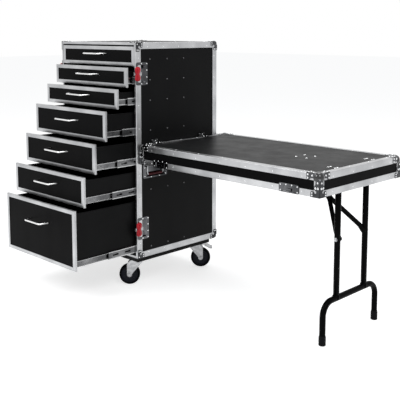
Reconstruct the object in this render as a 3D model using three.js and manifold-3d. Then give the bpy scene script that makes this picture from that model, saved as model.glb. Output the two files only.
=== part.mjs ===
// Road case with seven drawers, with its front lid hung on one side as a work table.
// Millimetres, +Z up. The drawers open towards -Y and the table stands on the +X side.
import * as THREE from 'three';
import { mergeVertices } from 'three/addons/utils/BufferGeometryUtils.js';
import Module from 'manifold-3d';

const wasm = await Module();
wasm.setup();

// Driving dimensions, in millimetres. Names that end in share are fractions.
const fit = 0.3;
const overrun = 5;
// How far a riveted, screwed or welded piece is let into the piece that carries it.
const bite = 0.4;

const shell = { width: 580, depth: 540, height: 1020, ply: 9.5 };

// The outer boards carry a thin facing sheet that ends short of the extrusions round them.
const facing = { thick: 0.5, inset: 32 };

// The angle extrusion on every edge: flange width, flange on the open rim, wall, outer radius.
const angle = { flange: 30, rim: 12, wall: 1.5, round: 3.5 };

const ballCorner = { ball: 14, bulge: 4, reach: 44, near: 16, far: 24, sheet: 1.4 };
const lidCorner = { ball: 20, bulge: 5, reach: 62, near: 19, far: 27, sheet: 1.6 };
const rimBrace = { reach: 42, near: 15, far: 24, sheet: 1.4 };

const board = { thick: 20, inset: 8, rearInset: 45 };

const castor = {
  fromSide: 93, fromEnd: 77, height: 140, trail: 38, plateX: 100, plateY: 84, plate: 4,
  headRadius: 27, head: 10, web: 3, cheek: 2.6, wheelRadius: 51, tread: 32, sideGap: 2.4,
  axle: 5, eye: 12, waist: 21, hub: 16, hubWide: 30, recess: 18, recessOut: 36,
  tyreIn: 42, crown: 18, pinRadius: 3, pinForward: 4, pinDrop: 10, pedalWall: 2.6, pedalReach: 48,
  pedalWide: 30, pedalDrop: 9,
};
const frontTrailAngle = THREE.MathUtils.degToRad(224.6);
const rearTrailAngle = THREE.MathUtils.degToRad(44.6);

// Drawers from the top down: how many height steps each front takes, how far each stands open. A pull
// sits below its front's top edge by a share of the front.
const shallow = { steps: 2, dropShare: 0.4 };
const medium = { steps: 3, dropShare: 0.4 };
const deep = { steps: 6, dropShare: 0.33 };
const drawerKinds = [shallow, shallow, shallow, medium, medium, medium, deep];
const drawersOpen = [0, 46, 103, 172, 234, 297, 350];
const drawer = {
  sideGap: 1.5, gap: 5, lowest: 4, headroom: 18.5, trim: 17, trimWall: 1.5, trimDepth: 11,
  board: 9.5, wall: 9, floor: 6, sill: 16, crown: 16, rearRoom: 37.4,
};
const pull = { span: 140, grip: 120, reach: 45, radius: 4.5, bend: 11 };

// One telescoping runner: three members nested in each other, measured from the side panel.
const runner = {
  shorter: 20, height: 45, middleHeight: 35, drawerHeight: 27, depth: 10.5, wall: 1.2,
  middleIn: 1.8, middleOut: 10, lipGap: 0.5, drawerIn: 4.5, total: 12.7, centre: 31,
};

const latch = {
  fromEnd: 144, tall: 106, deep: 70, corner: 10, sheet: 1.2, pocketFront: 8, pocketBack: 60,
  pocketTall: 84, pocketDepth: 9.8, hook: 2.6, hookTall: 16, hookBack: 32, hookOut: 13, hookTip: 3,
  hookDown: 5, spindle: 6, spindleY: 24, pivotY: 5.5, wing: 33.5, wingWide: 15.5, wingWaist: 8.5,
  wingThick: 5, ribThick: 4, ribWide: 5, knob: 6, shoulderShare: 0.6, waistShare: 0.25,
};

const carry = {
  y: 115, underTable: 113, wide: 153, tall: 104, corner: 9, sheet: 1.2, pocketWide: 116, pocketLow: 44,
  pocketHigh: 16, pocketDepth: 7.8, floor: 1, pivot: 4, arm: 37, standOff: 1.2, rod: 3.2, grip: 6.2,
  gripWide: 84, bail: 98, bend: 7, ear: 5, earTall: 14, earOut: 5.2, pinGap: 0.5,
};

// The lid covers the case's open front, so it is as long as the case is high and as wide as the case.
// Turned over as a table, its near corner lies past the case's side by the hanging gap.
const lid = {
  length: shell.height, width: shell.width, height: 92, flange: 27, topHeight: 706, gap: 5, nearY: 14,
};
const hanger = {
  nearY: 110, farY: 428, wide: 34, rise: 19, sheet: 3, base: 30, ledgeDrop: 26,
  strap: 140, strapWide: 9, strapThick: 4,
};
const keeper = {
  wide: 92, tall: 26, sheet: 1.4, corner: 7, catchWide: 26, catchTall: 10, catchOut: 5,
};

// The folding leg: two uprights on a bent floor bar, held open by a toggle brace.
const leg = {
  fromEnd: 46, spread: 200, tube: 12.5, pivotDrop: 27, bar: 170, feet: 380, bend: 55,
  axle: 8, axleOver: 7, axleGap: 0.4, cap: 14.5, capTall: 40, capFloor: 4, bolt: 5, boltHead: 3,
};
const mount = { sheet: 3, sideGap: 1, long: 60, wide: 34, ear: 13, toggleWide: 40 };
const brace = {
  fromPivot: 267, knuckleX: 124, knuckleZ: 151.6, anchorX: 219, bar: 16, thick: 3, flat: 26,
  sideGap: 0.4, linkThick: 5, linkGap: 0.8, over: 7, pin: 4, pinHead: 2,
};

// Facet counts.
const roundSteps = 2;
const eyeSteps = 5;
const bendSteps = 2;
const thinSides = 8;
const tubeSides = 10;
const pinSides = 12;
const wheelSides = 16;
const ballSides = 8;
const ballRings = 6;

const X = new THREE.Vector3(1, 0, 0);
const Y = new THREE.Vector3(0, 1, 0);
const Z = new THREE.Vector3(0, 0, 1);
const origin = new THREE.Vector3(0, 0, 0);

// Materials.
const finishes = {
  laminate: { color: '#18191b', roughness: 0.55, metalness: 0 },
  aluminium: { color: '#b4b7ba', roughness: 0.36, metalness: 0.9 },
  chrome: { color: '#c9cbce', roughness: 0.18, metalness: 1 },
  zinc: { color: '#a3a6a9', roughness: 0.32, metalness: 0.9 },
  plywood: { color: '#1b1b1c', roughness: 0.7, metalness: 0 },
  red: { color: '#b3242c', roughness: 0.42, metalness: 0 },
  darkRed: { color: '#5e1418', roughness: 0.6, metalness: 0 },
  rubber: { color: '#141517', roughness: 0.75, metalness: 0 },
  blackSteel: { color: '#121314', roughness: 0.4, metalness: 0.3 },
};

const assembly = new THREE.Group();

function addMesh(name, geometry, finish, parent) {
  const mesh = new THREE.Mesh(geometry, new THREE.MeshStandardMaterial(finishes[finish]));
  mesh.name = name;
  parent.add(mesh);
  return mesh;
}

// Geometry helpers. A plain geometry has no index and holds positions only.
function plain(geometry) {
  const copy = geometry.index ? geometry.toNonIndexed() : geometry.clone();
  copy.deleteAttribute('normal');
  copy.deleteAttribute('uv');
  copy.clearGroups();
  return copy;
}

function flipped(geometry) {
  const copy = plain(geometry);
  const { array } = copy.attributes.position;
  for (let start = 0; start < array.length; start += 9) {
    for (let axis = 0; axis < 3; axis += 1) {
      const kept = array[start + 3 + axis];
      array[start + 3 + axis] = array[start + 6 + axis];
      array[start + 6 + axis] = kept;
    }
  }
  return copy;
}

function signedVolume(geometry) {
  const { position } = plain(geometry).attributes;
  const [a, b, c] = [new THREE.Vector3(), new THREE.Vector3(), new THREE.Vector3()];
  let volume = 0;
  for (let i = 0; i < position.count; i += 3) {
    a.fromBufferAttribute(position, i);
    b.fromBufferAttribute(position, i + 1);
    c.fromBufferAttribute(position, i + 2);
    volume += a.dot(b.cross(c));
  }
  return volume;
}

function outward(geometry) {
  return signedVolume(geometry) < 0 ? flipped(geometry) : plain(geometry);
}

function placed(geometry, at, xAxis, yAxis, zAxis) {
  const matrix = new THREE.Matrix4().makeBasis(xAxis, yAxis, zAxis).setPosition(at);
  const copy = plain(geometry);
  copy.applyMatrix4(matrix);
  return matrix.determinant() < 0 ? flipped(copy) : copy;
}

function moved(geometry, x, y, z) {
  const copy = plain(geometry);
  copy.translate(x, y, z);
  return copy;
}

function mirrored(geometry) {
  return placed(geometry, origin, X.clone().negate(), Y, Z);
}

function toManifold(geometry) {
  const welded = mergeVertices(plain(geometry));
  return new wasm.Manifold(new wasm.Mesh({
    numProp: 3,
    vertProperties: new Float32Array(welded.attributes.position.array),
    triVerts: new Uint32Array(welded.index.array),
  }));
}

function fromManifold(manifold) {
  const mesh = manifold.getMesh();
  const geometry = new THREE.BufferGeometry();
  geometry.setAttribute('position', new THREE.BufferAttribute(new Float32Array(mesh.vertProperties), 3));
  geometry.setIndex(new THREE.BufferAttribute(new Uint32Array(mesh.triVerts), 1));
  return plain(geometry);
}

function joined(geometries) {
  return fromManifold(geometries.map(toManifold).reduce((whole, piece) => whole.add(piece)));
}

function cutBy(geometry, tools) {
  const solid = toManifold(geometry);
  return fromManifold(tools.map(toManifold).reduce((whole, tool) => whole.subtract(tool), solid));
}

function block(low, high) {
  const size = high.map((value, axis) => value - low[axis]);
  const box = new THREE.BoxGeometry(...size);
  box.translate(...high.map((value, axis) => (value + low[axis]) / 2));
  return plain(box);
}

function extruded(outline, depth, curveSegments = roundSteps) {
  return plain(new THREE.ExtrudeGeometry(outline, { depth, bevelEnabled: false, curveSegments }));
}

// A cylinder from one point to another.
function rod(from, to, radius, sides) {
  const along = to.clone().sub(from);
  const cylinder = new THREE.CylinderGeometry(radius, radius, along.length(), sides);
  const turn = new THREE.Quaternion().setFromUnitVectors(Y, along.clone().normalize());
  cylinder.applyQuaternion(turn);
  const middle = from.clone().add(to).multiplyScalar(0.5);
  cylinder.translate(middle.x, middle.y, middle.z);
  return plain(cylinder);
}

// A rod along Y through a point, from one offset to another.
function crossRod(at, fromOffset, toOffset, radius, sides) {
  return rod(at.clone().setY(at.y + fromOffset), at.clone().setY(at.y + toOffset), radius, sides);
}

function revolved(points, sides) {
  const closed = [...points, points[0]].map(([radius, height]) => new THREE.Vector2(radius, height));
  return outward(new THREE.LatheGeometry(closed, sides));
}

// A solid lofted through rings that have the same number of points.
function lofted(rings) {
  const triangles = [];
  const count = rings[0].length;
  const push = (...corners) => corners.forEach((corner) => triangles.push(corner.x, corner.y, corner.z));
  for (let ring = 0; ring + 1 < rings.length; ring += 1) {
    for (let i = 0; i < count; i += 1) {
      const next = (i + 1) % count;
      push(rings[ring][i], rings[ring][next], rings[ring + 1][next]);
      push(rings[ring][i], rings[ring + 1][next], rings[ring + 1][i]);
    }
  }
  const last = rings[rings.length - 1];
  for (let i = 1; i + 1 < count; i += 1) {
    push(rings[0][0], rings[0][i + 1], rings[0][i]);
    push(last[0], last[i], last[i + 1]);
  }
  const geometry = new THREE.BufferGeometry();
  geometry.setAttribute('position', new THREE.Float32BufferAttribute(triangles, 3));
  return outward(geometry);
}

// A route of straight runs with rounded corners, sampled only where it turns.
class BentRoute extends THREE.Curve {
  constructor(corners, bend) {
    super();
    this.stations = [corners[0]];
    for (let i = 1; i + 1 < corners.length; i += 1) {
      const before = corners[i - 1].clone().sub(corners[i]).normalize();
      const after = corners[i + 1].clone().sub(corners[i]).normalize();
      const halfAngle = before.angleTo(after) / 2;
      const back = bend / Math.tan(halfAngle);
      const inward = before.clone().add(after).normalize();
      const centre = corners[i].clone().addScaledVector(inward, bend / Math.sin(halfAngle));
      const start = corners[i].clone().addScaledVector(before, back).sub(centre);
      const axis = new THREE.Vector3().crossVectors(after, before).normalize();
      const sweep = Math.PI - 2 * halfAngle;
      for (let step = 0; step <= bendSteps; step += 1) {
        const spoke = start.clone().applyAxisAngle(axis, (sweep * step) / bendSteps);
        this.stations.push(centre.clone().add(spoke));
      }
    }
    this.stations.push(corners[corners.length - 1]);
  }

  get steps() {
    return this.stations.length - 1;
  }

  getPoint(t, target = new THREE.Vector3()) {
    const place = Math.min(Math.max(t, 0), 1) * this.steps;
    const index = Math.min(Math.floor(place), this.steps - 1);
    return target.lerpVectors(this.stations[index], this.stations[index + 1], place - index);
  }

  getUtoTmapping(u) {
    return u;
  }
}

function bentTube(corners, bend, radius, sides) {
  const route = new BentRoute(corners, bend);
  const section = new THREE.Shape();
  for (let side = 0; side < sides; side += 1) {
    const turn = ((side + 0.5) / sides) * 2 * Math.PI;
    const point = [radius * Math.cos(turn), radius * Math.sin(turn)];
    if (side === 0) {
      section.moveTo(...point);
    } else {
      section.lineTo(...point);
    }
  }
  return outward(new THREE.ExtrudeGeometry(section, { steps: route.steps, extrudePath: route }));
}

function roundedRectangle(x0, x1, y0, y1, radius) {
  const shape = new THREE.Shape();
  shape.moveTo(x0 + radius, y0);
  shape.lineTo(x1 - radius, y0);
  shape.absarc(x1 - radius, y0 + radius, radius, -Math.PI / 2, 0, false);
  shape.lineTo(x1, y1 - radius);
  shape.absarc(x1 - radius, y1 - radius, radius, 0, Math.PI / 2, false);
  shape.lineTo(x0 + radius, y1);
  shape.absarc(x0 + radius, y1 - radius, radius, Math.PI / 2, Math.PI, false);
  shape.lineTo(x0, y0 + radius);
  shape.absarc(x0 + radius, y0 + radius, radius, Math.PI, Math.PI * 1.5, false);
  return shape;
}

function polygon(points) {
  return new THREE.Shape(points.map(([x, y]) => new THREE.Vector2(x, y)));
}

// Angle extrusions. The profile's outer corner is the origin, its flanges run along +X and +Y and its
// length along +Z. Both ends are mitred: an end leans back by the distance from the outer corner.
function mitredAngle(length, flangeX, flangeY, wall, round) {
  const outline = new THREE.Shape();
  outline.moveTo(round, 0);
  outline.lineTo(flangeX, 0);
  outline.lineTo(flangeX, wall);
  outline.lineTo(wall, wall);
  outline.lineTo(wall, flangeY);
  outline.lineTo(0, flangeY);
  outline.lineTo(0, round);
  outline.absarc(round, round, round, Math.PI, Math.PI * 1.5, false);
  const bar = extruded(outline, length);
  const { position } = bar.attributes;
  for (let i = 0; i < position.count; i += 1) {
    const lean = position.getX(i) + position.getY(i) + fit / 2;
    position.setZ(i, position.getZ(i) < length / 2 ? lean : length - lean);
  }
  return bar;
}

// Twelve mitred angles round a box from the origin. flanges[axis] holds the flange width on the low
// and the high face square to that axis.
function boxEdges(size, flanges, profile) {
  const axes = [X, Y, Z];
  const bars = [];
  for (let along = 0; along < 3; along += 1) {
    const first = (along + 1) % 3;
    const second = (along + 2) % 3;
    for (const firstSide of [0, 1]) {
      for (const secondSide of [0, 1]) {
        const at = new THREE.Vector3();
        at.setComponent(first, firstSide * size[first]);
        at.setComponent(second, secondSide * size[second]);
        const bar = mitredAngle(
          size[along],
          flanges[second][secondSide],
          flanges[first][firstSide],
          profile.wall,
          profile.round,
        );
        const firstAxis = axes[first].clone().multiplyScalar(1 - 2 * firstSide);
        const secondAxis = axes[second].clone().multiplyScalar(1 - 2 * secondSide);
        bars.push(placed(bar, at, firstAxis, secondAxis, axes[along]));
      }
    }
  }
  return bars;
}

// Corner fittings. In a corner's own frame the box fills the space where x, y and z are positive.
const cornerFaces = { alongXY: [X, Y, Z], alongYZ: [Y, Z, X], alongZX: [Z, X, Y] };

function cornerFitting(spec, faces) {
  const outer = spec.sheet;
  const outline = polygon([
    [-outer, -outer], [spec.reach, -outer], [spec.reach, spec.far], [spec.near, spec.near],
    [spec.far, spec.reach], [-outer, spec.reach],
  ]);
  const sheet = moved(extruded(outline, spec.sheet + bite), 0, 0, -outer);
  const pieces = faces.map((face) => placed(sheet, origin, ...cornerFaces[face]));
  if (spec.ball) {
    const centre = spec.ball - spec.bulge;
    const ball = new THREE.SphereGeometry(spec.ball, ballSides, ballRings);
    pieces.push(moved(ball, centre, centre, centre));
  }
  const reach = spec.reach + spec.far;
  return cutBy(joined(pieces), [block([bite, bite, bite], [reach, reach, reach])]);
}

function atCorner(piece, x, y, z, sideX, sideY, sideZ) {
  const axes = [[X, sideX], [Y, sideY], [Z, sideZ]].map(([axis, side]) => axis.clone().multiplyScalar(side));
  return placed(piece, new THREE.Vector3(x, y, z), ...axes);
}

// The case shell. The case group starts at the case's lower edge, above the castors and their board.
const skin = angle.wall + fit;
const halfWidth = shell.width / 2;
const innerHalf = halfWidth - skin - shell.ply;
const backFace = shell.depth - skin - shell.ply;
const flatHalf = innerHalf - fit;
const tableHeight = lid.topHeight - castor.height - board.thick;
const carryZ = tableHeight - carry.underTable;
const latchHeights = [latch.fromEnd, shell.height - latch.fromEnd];

const caseGroup = new THREE.Group();
caseGroup.position.z = castor.height + board.thick;
assembly.add(caseGroup);

const topBoard = block(
  [-flatHalf, skin, shell.height - skin - shell.ply],
  [flatHalf, backFace - fit, shell.height - skin],
);
const topFacing = block(
  [facing.inset - halfWidth, facing.inset, shell.height - skin - bite],
  [halfWidth - facing.inset, shell.depth - facing.inset, shell.height - skin + facing.thick],
);
addMesh('top_panel', joined([topBoard, topFacing]), 'laminate', caseGroup);
addMesh('bottom_panel', block(
  [-flatHalf, skin, skin],
  [flatHalf, backFace - fit, skin + shell.ply],
), 'laminate', caseGroup);
const backBoard = block([-flatHalf, backFace, skin], [flatHalf, shell.depth - skin, shell.height - skin]);
const backFacing = block(
  [facing.inset - halfWidth, shell.depth - skin - bite, facing.inset],
  [halfWidth - facing.inset, shell.depth - skin + facing.thick, shell.height - facing.inset],
);
addMesh('back_panel', joined([backBoard, backFacing]), 'laminate', caseGroup);

function latchPocket(height) {
  return block(
    [innerHalf - overrun, latch.pocketFront - fit, height - latch.pocketTall / 2 - fit],
    [halfWidth + overrun, latch.pocketBack + fit, height + latch.pocketTall / 2 + fit],
  );
}

function carryHole() {
  return block(
    [innerHalf - overrun, carry.y - carry.pocketWide / 2 - fit, carryZ - carry.pocketLow - fit],
    [halfWidth, carry.y + carry.pocketWide / 2 + fit, carryZ + carry.pocketHigh + fit],
  );
}

// Drawer places, and the runner members nested between the side panels and the drawer boxes.
const frontHalf = halfWidth - angle.rim - drawer.sideGap;
const faceFront = drawer.trimWall + fit;
const boxFront = faceFront + drawer.board;
const boxHalf = innerHalf - runner.total;
const boxDepth = backFace - boxFront - drawer.rearRoom;
const runnerFront = boxFront + bite + fit;
const runnerLength = boxDepth - runner.shorter;

const lowestSill = angle.rim + drawer.lowest;
const gapsHeight = (drawerKinds.length - 1) * drawer.gap;
const stackHeight = shell.height - lowestSill - drawer.headroom - gapsHeight;
const stepHeight = stackHeight / drawerKinds.reduce((sum, kind) => sum + kind.steps, 0);
const drawerFronts = drawerKinds.map((kind) => kind.steps * stepHeight);
const sills = [];
drawerFronts.reduceRight((sill, front) => {
  sills.unshift(sill);
  return sill + front + drawer.gap;
}, lowestSill);

// A channel open towards +X whose flanges end in lips that point at each other.
function lippedChannel(height, back, mouth, lipEnd, wall) {
  const half = height / 2;
  const side = [
    [back, half], [mouth, half], [mouth, lipEnd], [mouth - wall, lipEnd], [mouth - wall, half - wall],
    [back + wall, half - wall],
  ];
  const other = side.map(([x, y]) => [x, -y]).reverse();
  return polygon([...side, ...other].reverse());
}

const cabinetOutline = lippedChannel(
  runner.height,
  -bite,
  runner.depth,
  runner.middleHeight / 2 + runner.lipGap,
  runner.wall,
);
const middleOutline = lippedChannel(
  runner.middleHeight,
  runner.middleIn,
  runner.middleOut,
  runner.drawerHeight / 2 + runner.lipGap,
  runner.wall,
);

// The drawer member is a plain channel that opens towards the side panel.
const drawerRail = runner.drawerHeight / 2;
const railWeb = runner.total - runner.wall;
const drawerOutline = polygon([
  [runner.drawerIn, -drawerRail], [runner.total + bite, -drawerRail], [runner.total + bite, drawerRail],
  [runner.drawerIn, drawerRail], [runner.drawerIn, drawerRail - runner.wall],
  [railWeb, drawerRail - runner.wall], [railWeb, runner.wall - drawerRail],
  [runner.drawerIn, runner.wall - drawerRail],
]);

// One runner member on the side panel at side +1 or -1, for a drawer whose sill is at z = 0.
function runnerMember(outline, side) {
  return placed(
    extruded(outline, runnerLength),
    new THREE.Vector3(side * innerHalf, runnerFront, runner.centre),
    X.clone().multiplyScalar(-side),
    Z,
    Y,
  );
}

// The ledge that a table hook hangs on: a plate on the side panel, folded out at its top edge.
function tableLedge(y) {
  const face = halfWidth - skin;
  const ledgeTop = tableHeight + hanger.rise - hanger.sheet - fit;
  const outer = halfWidth + lid.gap - fit;
  const profile = polygon([
    [face - bite, ledgeTop - hanger.ledgeDrop], [face + hanger.sheet, ledgeTop - hanger.ledgeDrop],
    [face + hanger.sheet, ledgeTop - hanger.sheet], [outer, ledgeTop - hanger.sheet],
    [outer, ledgeTop], [face - bite, ledgeTop],
  ]);
  const plate = extruded(profile, hanger.wide);
  return placed(plate, new THREE.Vector3(0, y + hanger.wide / 2, 0), X, Z, Y.clone().negate());
}

// A side panel with its cut-outs and the cabinet members screwed to its inner face.
function sidePanel(fittings) {
  const blank = block([innerHalf, skin, skin], [halfWidth - skin, shell.depth - skin, shell.height - skin]);
  const panel = cutBy(blank, [...latchHeights.map(latchPocket), carryHole()]);
  const members = sills.map((sill) => moved(runnerMember(cabinetOutline, 1), 0, 0, sill));
  return joined([panel, ...members, ...fittings]);
}
const ledges = [tableLedge(hanger.nearY), tableLedge(hanger.farY)];
addMesh('right_panel', sidePanel(ledges), 'laminate', caseGroup);
addMesh('left_panel', mirrored(sidePanel([])), 'laminate', caseGroup);

// A latch dish on the right side: riveted sheet, sunk pan, and the spindle that carries the hook.
function latchDish() {
  const halfTall = latch.tall / 2;
  const cornerY = latch.deep - latch.corner;
  const outline = new THREE.Shape();
  outline.moveTo(0, -halfTall);
  outline.lineTo(cornerY, -halfTall);
  outline.absarc(cornerY, latch.corner - halfTall, latch.corner, -Math.PI / 2, 0, false);
  outline.lineTo(latch.deep, halfTall - latch.corner);
  outline.absarc(cornerY, halfTall - latch.corner, latch.corner, 0, Math.PI / 2, false);
  outline.lineTo(0, halfTall);
  const face = placed(extruded(outline, latch.sheet + bite), new THREE.Vector3(-bite, 0, 0), Y, Z, X);
  const pan = block(
    [-latch.pocketDepth, latch.pocketFront, -latch.pocketTall / 2],
    [latch.sheet, latch.pocketBack, latch.pocketTall / 2],
  );
  const hollow = block(
    [latch.sheet - latch.pocketDepth, latch.pocketFront + latch.sheet, latch.sheet - latch.pocketTall / 2],
    [latch.sheet + overrun, latch.pocketBack - latch.sheet, latch.pocketTall / 2 - latch.sheet],
  );
  const hookLow = latch.sheet + fit;
  const hookTop = hookLow + latch.hook;
  const spindle = rod(
    new THREE.Vector3(latch.sheet / 2 - latch.pocketDepth, latch.spindleY, 0),
    new THREE.Vector3(hookTop - latch.hook / 2, latch.spindleY, 0),
    latch.spindle,
    tubeSides,
  );
  const hook = block(
    [hookLow, -latch.hookOut, -latch.hookTall / 2],
    [hookTop, latch.hookBack, latch.hookTall / 2],
  );
  const tip = block(
    [-latch.hookDown, -latch.hookOut, -latch.hookTall / 2],
    [hookTop, latch.hookTip - latch.hookOut, latch.hookTall / 2],
  );
  return joined([cutBy(joined([face, pan]), [hollow]), spindle, hook, tip]);
}

// The case frame: twelve angles held together by riveted corners, with the four latch dishes.
function caseFrame() {
  const wide = [angle.flange, angle.flange];
  const size = [shell.width, shell.depth, shell.height];
  const notches = latchHeights.map(latchPocket).flatMap((pocket) => [pocket, mirrored(pocket)]);
  const bars = boxEdges(size, [wide, [angle.rim, angle.flange], wide], angle)
    .map((bar) => cutBy(moved(bar, -halfWidth, 0, 0), notches));
  const rimPlane = block([-overrun, -overrun, -overrun], [rimBrace.reach, 0, rimBrace.reach]);
  const ball = cornerFitting(ballCorner, ['alongXY', 'alongYZ', 'alongZX']);
  const flat = cutBy(cornerFitting(rimBrace, ['alongXY', 'alongYZ']), [rimPlane]);
  const pieces = [];
  for (const sideX of [1, -1]) {
    for (const sideZ of [1, -1]) {
      const height = sideZ > 0 ? 0 : shell.height;
      pieces.push(atCorner(ball, -sideX * halfWidth, shell.depth, height, sideX, -1, sideZ));
      pieces.push(atCorner(flat, -sideX * halfWidth, 0, height, sideX, 1, sideZ));
    }
  }
  const dish = latchDish();
  for (const height of latchHeights) {
    const right = moved(dish, halfWidth, 0, height);
    pieces.push(right, mirrored(right));
  }
  return joined([...bars, ...pieces]);
}
addMesh('case_frame', caseFrame(), 'aluminium', caseGroup);

// Latch handles: a butterfly plate with a raised rib, turning on the dish's face.
function latchWing() {
  const { wing, wingWide, wingWaist } = latch;
  const shoulder = wing * latch.shoulderShare;
  const waist = wing * latch.waistShare;
  const shape = new THREE.Shape();
  shape.moveTo(wingWaist, 0);
  shape.quadraticCurveTo(wingWide, waist, wingWide, shoulder);
  shape.quadraticCurveTo(wingWide, wing, 0, wing);
  shape.quadraticCurveTo(-wingWide, wing, -wingWide, shoulder);
  shape.quadraticCurveTo(-wingWide, waist, -wingWaist, 0);
  shape.quadraticCurveTo(-wingWide, -waist, -wingWide, -shoulder);
  shape.quadraticCurveTo(-wingWide, -wing, 0, -wing);
  shape.quadraticCurveTo(wingWide, -wing, wingWide, -shoulder);
  shape.quadraticCurveTo(wingWide, -waist, wingWaist, 0);
  const plate = extruded(shape, latch.wingThick);
  const rib = block(
    [-latch.ribWide / 2, latch.knob - wing, latch.wingThick / 2],
    [latch.ribWide / 2, wing - latch.knob, latch.wingThick + latch.ribThick],
  );
  return placed(joined([plate, rib]), origin, Y, Z, X);
}

const wingFace = halfWidth + latch.sheet + fit + latch.hook + fit;
const rightWing = moved(latchWing(), wingFace, 0, 0);
for (const [side, makeSide] of [['right', plain], ['left', mirrored]]) {
  for (const [level, height] of [['low', latchHeights[0]], ['high', latchHeights[1]]]) {
    const handle = addMesh(`latch_handle_${side}_${level}`, makeSide(rightWing), 'red', caseGroup);
    handle.position.set(0, latch.pivotY, height);
  }
}

// Recessed carrying handles on both sides: a riveted dish with two ears, and a bail with a grip.
const earFace = carry.bail / 2 + carry.rod + carry.pinGap;
const bailX = halfWidth - skin + carry.standOff;
const bailZ = carryZ + carry.pivot;

function carryDish() {
  const face = halfWidth - skin + fit;
  const plate = placed(extruded(roundedRectangle(
    -carry.wide / 2,
    carry.wide / 2,
    -carry.tall / 2,
    carry.tall / 2,
    carry.corner,
  ), carry.sheet), new THREE.Vector3(face, carry.y, carryZ), Y, Z, X);
  const half = carry.pocketWide / 2;
  const floor = halfWidth - skin - carry.pocketDepth;
  const pan = block(
    [floor - carry.floor, carry.y - half, carryZ - carry.pocketLow],
    [face + carry.sheet, carry.y + half, carryZ + carry.pocketHigh],
  );
  const hollow = block(
    [floor, carry.y - half + carry.sheet, carryZ - carry.pocketLow + carry.sheet],
    [face + overrun, carry.y + half - carry.sheet, carryZ + carry.pocketHigh - carry.sheet],
  );
  const ears = [1, -1].map((side) => {
    const sides = [carry.y + side * earFace, carry.y + side * (earFace + carry.ear)];
    return block(
      [floor - carry.floor / 2, Math.min(...sides), bailZ - carry.earTall / 2],
      [bailX + carry.earOut, Math.max(...sides), bailZ + carry.earTall / 2],
    );
  });
  const pinHole = rod(
    new THREE.Vector3(bailX, carry.y - earFace - carry.ear / 2, bailZ),
    new THREE.Vector3(bailX, carry.y + earFace + carry.ear / 2, bailZ),
    carry.rod + fit,
    pinSides,
  );
  return cutBy(joined([cutBy(joined([plate, pan]), [hollow]), ...ears]), [pinHole]);
}

// The bail is drawn round its own pivot: pins outwards, arms down, grip across.
function bail() {
  const half = carry.bail / 2;
  const pinEnd = earFace + carry.ear / 2 - fit;
  const corner = (y, z) => new THREE.Vector3(0, y, z);
  const wire = bentTube([
    corner(-half, carry.rod), corner(-half, -carry.arm), corner(half, -carry.arm), corner(half, carry.rod),
  ], carry.bend, carry.rod, thinSides);
  const pins = [1, -1].map((side) => rod(
    corner(side * (half - carry.rod / 2), 0),
    corner(side * pinEnd, 0),
    carry.rod,
    thinSides,
  ));
  const grip = rod(
    corner(-carry.gripWide / 2, -carry.arm),
    corner(carry.gripWide / 2, -carry.arm),
    carry.grip,
    tubeSides,
  );
  return joined([wire, ...pins, grip]);
}

const rightDish = carryDish();
for (const [side, sign, makeSide] of [['right', 1, plain], ['left', -1, mirrored]]) {
  addMesh(`carry_dish_${side}`, makeSide(rightDish), 'chrome', caseGroup);
  const grip = addMesh(`carry_grip_${side}`, bail(), 'darkRed', caseGroup);
  grip.position.set(sign * bailX, carry.y, bailZ);
}

// The drawers. Each is drawn with its closed front plane at y = 0 and its sill at z = 0.
function drawerTray(front) {
  const boxBack = boxFront + boxDepth;
  const outside = block([-boxHalf, boxFront, drawer.sill], [boxHalf, boxBack, front - drawer.crown]);
  const inside = block(
    [drawer.wall - boxHalf, boxFront + drawer.wall, drawer.sill + drawer.floor],
    [boxHalf - drawer.wall, boxBack - drawer.wall, front],
  );
  return cutBy(outside, [inside]);
}

function bowPull(height) {
  const gripY = pull.radius - pull.reach;
  const tilt = Math.atan2((pull.span - pull.grip) / 2, pull.reach);
  const footY = faceFront + bite + pull.radius * Math.sin(tilt);
  return bentTube([
    new THREE.Vector3(-pull.span / 2, footY, height),
    new THREE.Vector3(-pull.grip / 2, gripY, height),
    new THREE.Vector3(pull.grip / 2, gripY, height),
    new THREE.Vector3(pull.span / 2, footY, height),
  ], pull.bend, pull.radius, thinSides);
}

function drawerBox(front, dropShare) {
  const edge = faceFront;
  const face = block([edge - frontHalf, edge, edge], [frontHalf - edge, boxFront + bite, front - edge]);
  const members = [1, -1].map((side) => runnerMember(drawerOutline, side));
  return joined([drawerTray(front), face, bowPull(front * (1 - dropShare)), ...members]);
}

// The aluminium trim round a drawer front: an angle section on all four edges.
function drawerTrim(front) {
  const blank = block([-frontHalf, 0, 0], [frontHalf, drawer.trimDepth, front]);
  const { trim, trimWall } = drawer;
  const window = block(
    [trim - frontHalf, -overrun, trim],
    [frontHalf - trim, drawer.trimDepth, front - trim],
  );
  const seat = block(
    [trimWall - frontHalf, trimWall, trimWall],
    [frontHalf - trimWall, drawer.trimDepth + overrun, front - trimWall],
  );
  return cutBy(blank, [window, seat]);
}

drawerFronts.forEach((front, index) => {
  const number = index + 1;
  const slide = new THREE.Group();
  slide.position.set(0, -drawersOpen[index], sills[index]);
  caseGroup.add(slide);
  addMesh(`drawer_${number}_box`, drawerBox(front, drawerKinds[index].dropShare), 'laminate', slide);
  addMesh(`drawer_${number}_trim`, drawerTrim(front), 'aluminium', slide);
  for (const [side, sign] of [['right', 1], ['left', -1]]) {
    const member = runnerMember(middleOutline, sign);
    const middle = addMesh(`middle_runner_${number}_${side}`, member, 'zinc', caseGroup);
    middle.position.set(0, -drawersOpen[index] / 2, sills[index]);
  }
});

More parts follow.
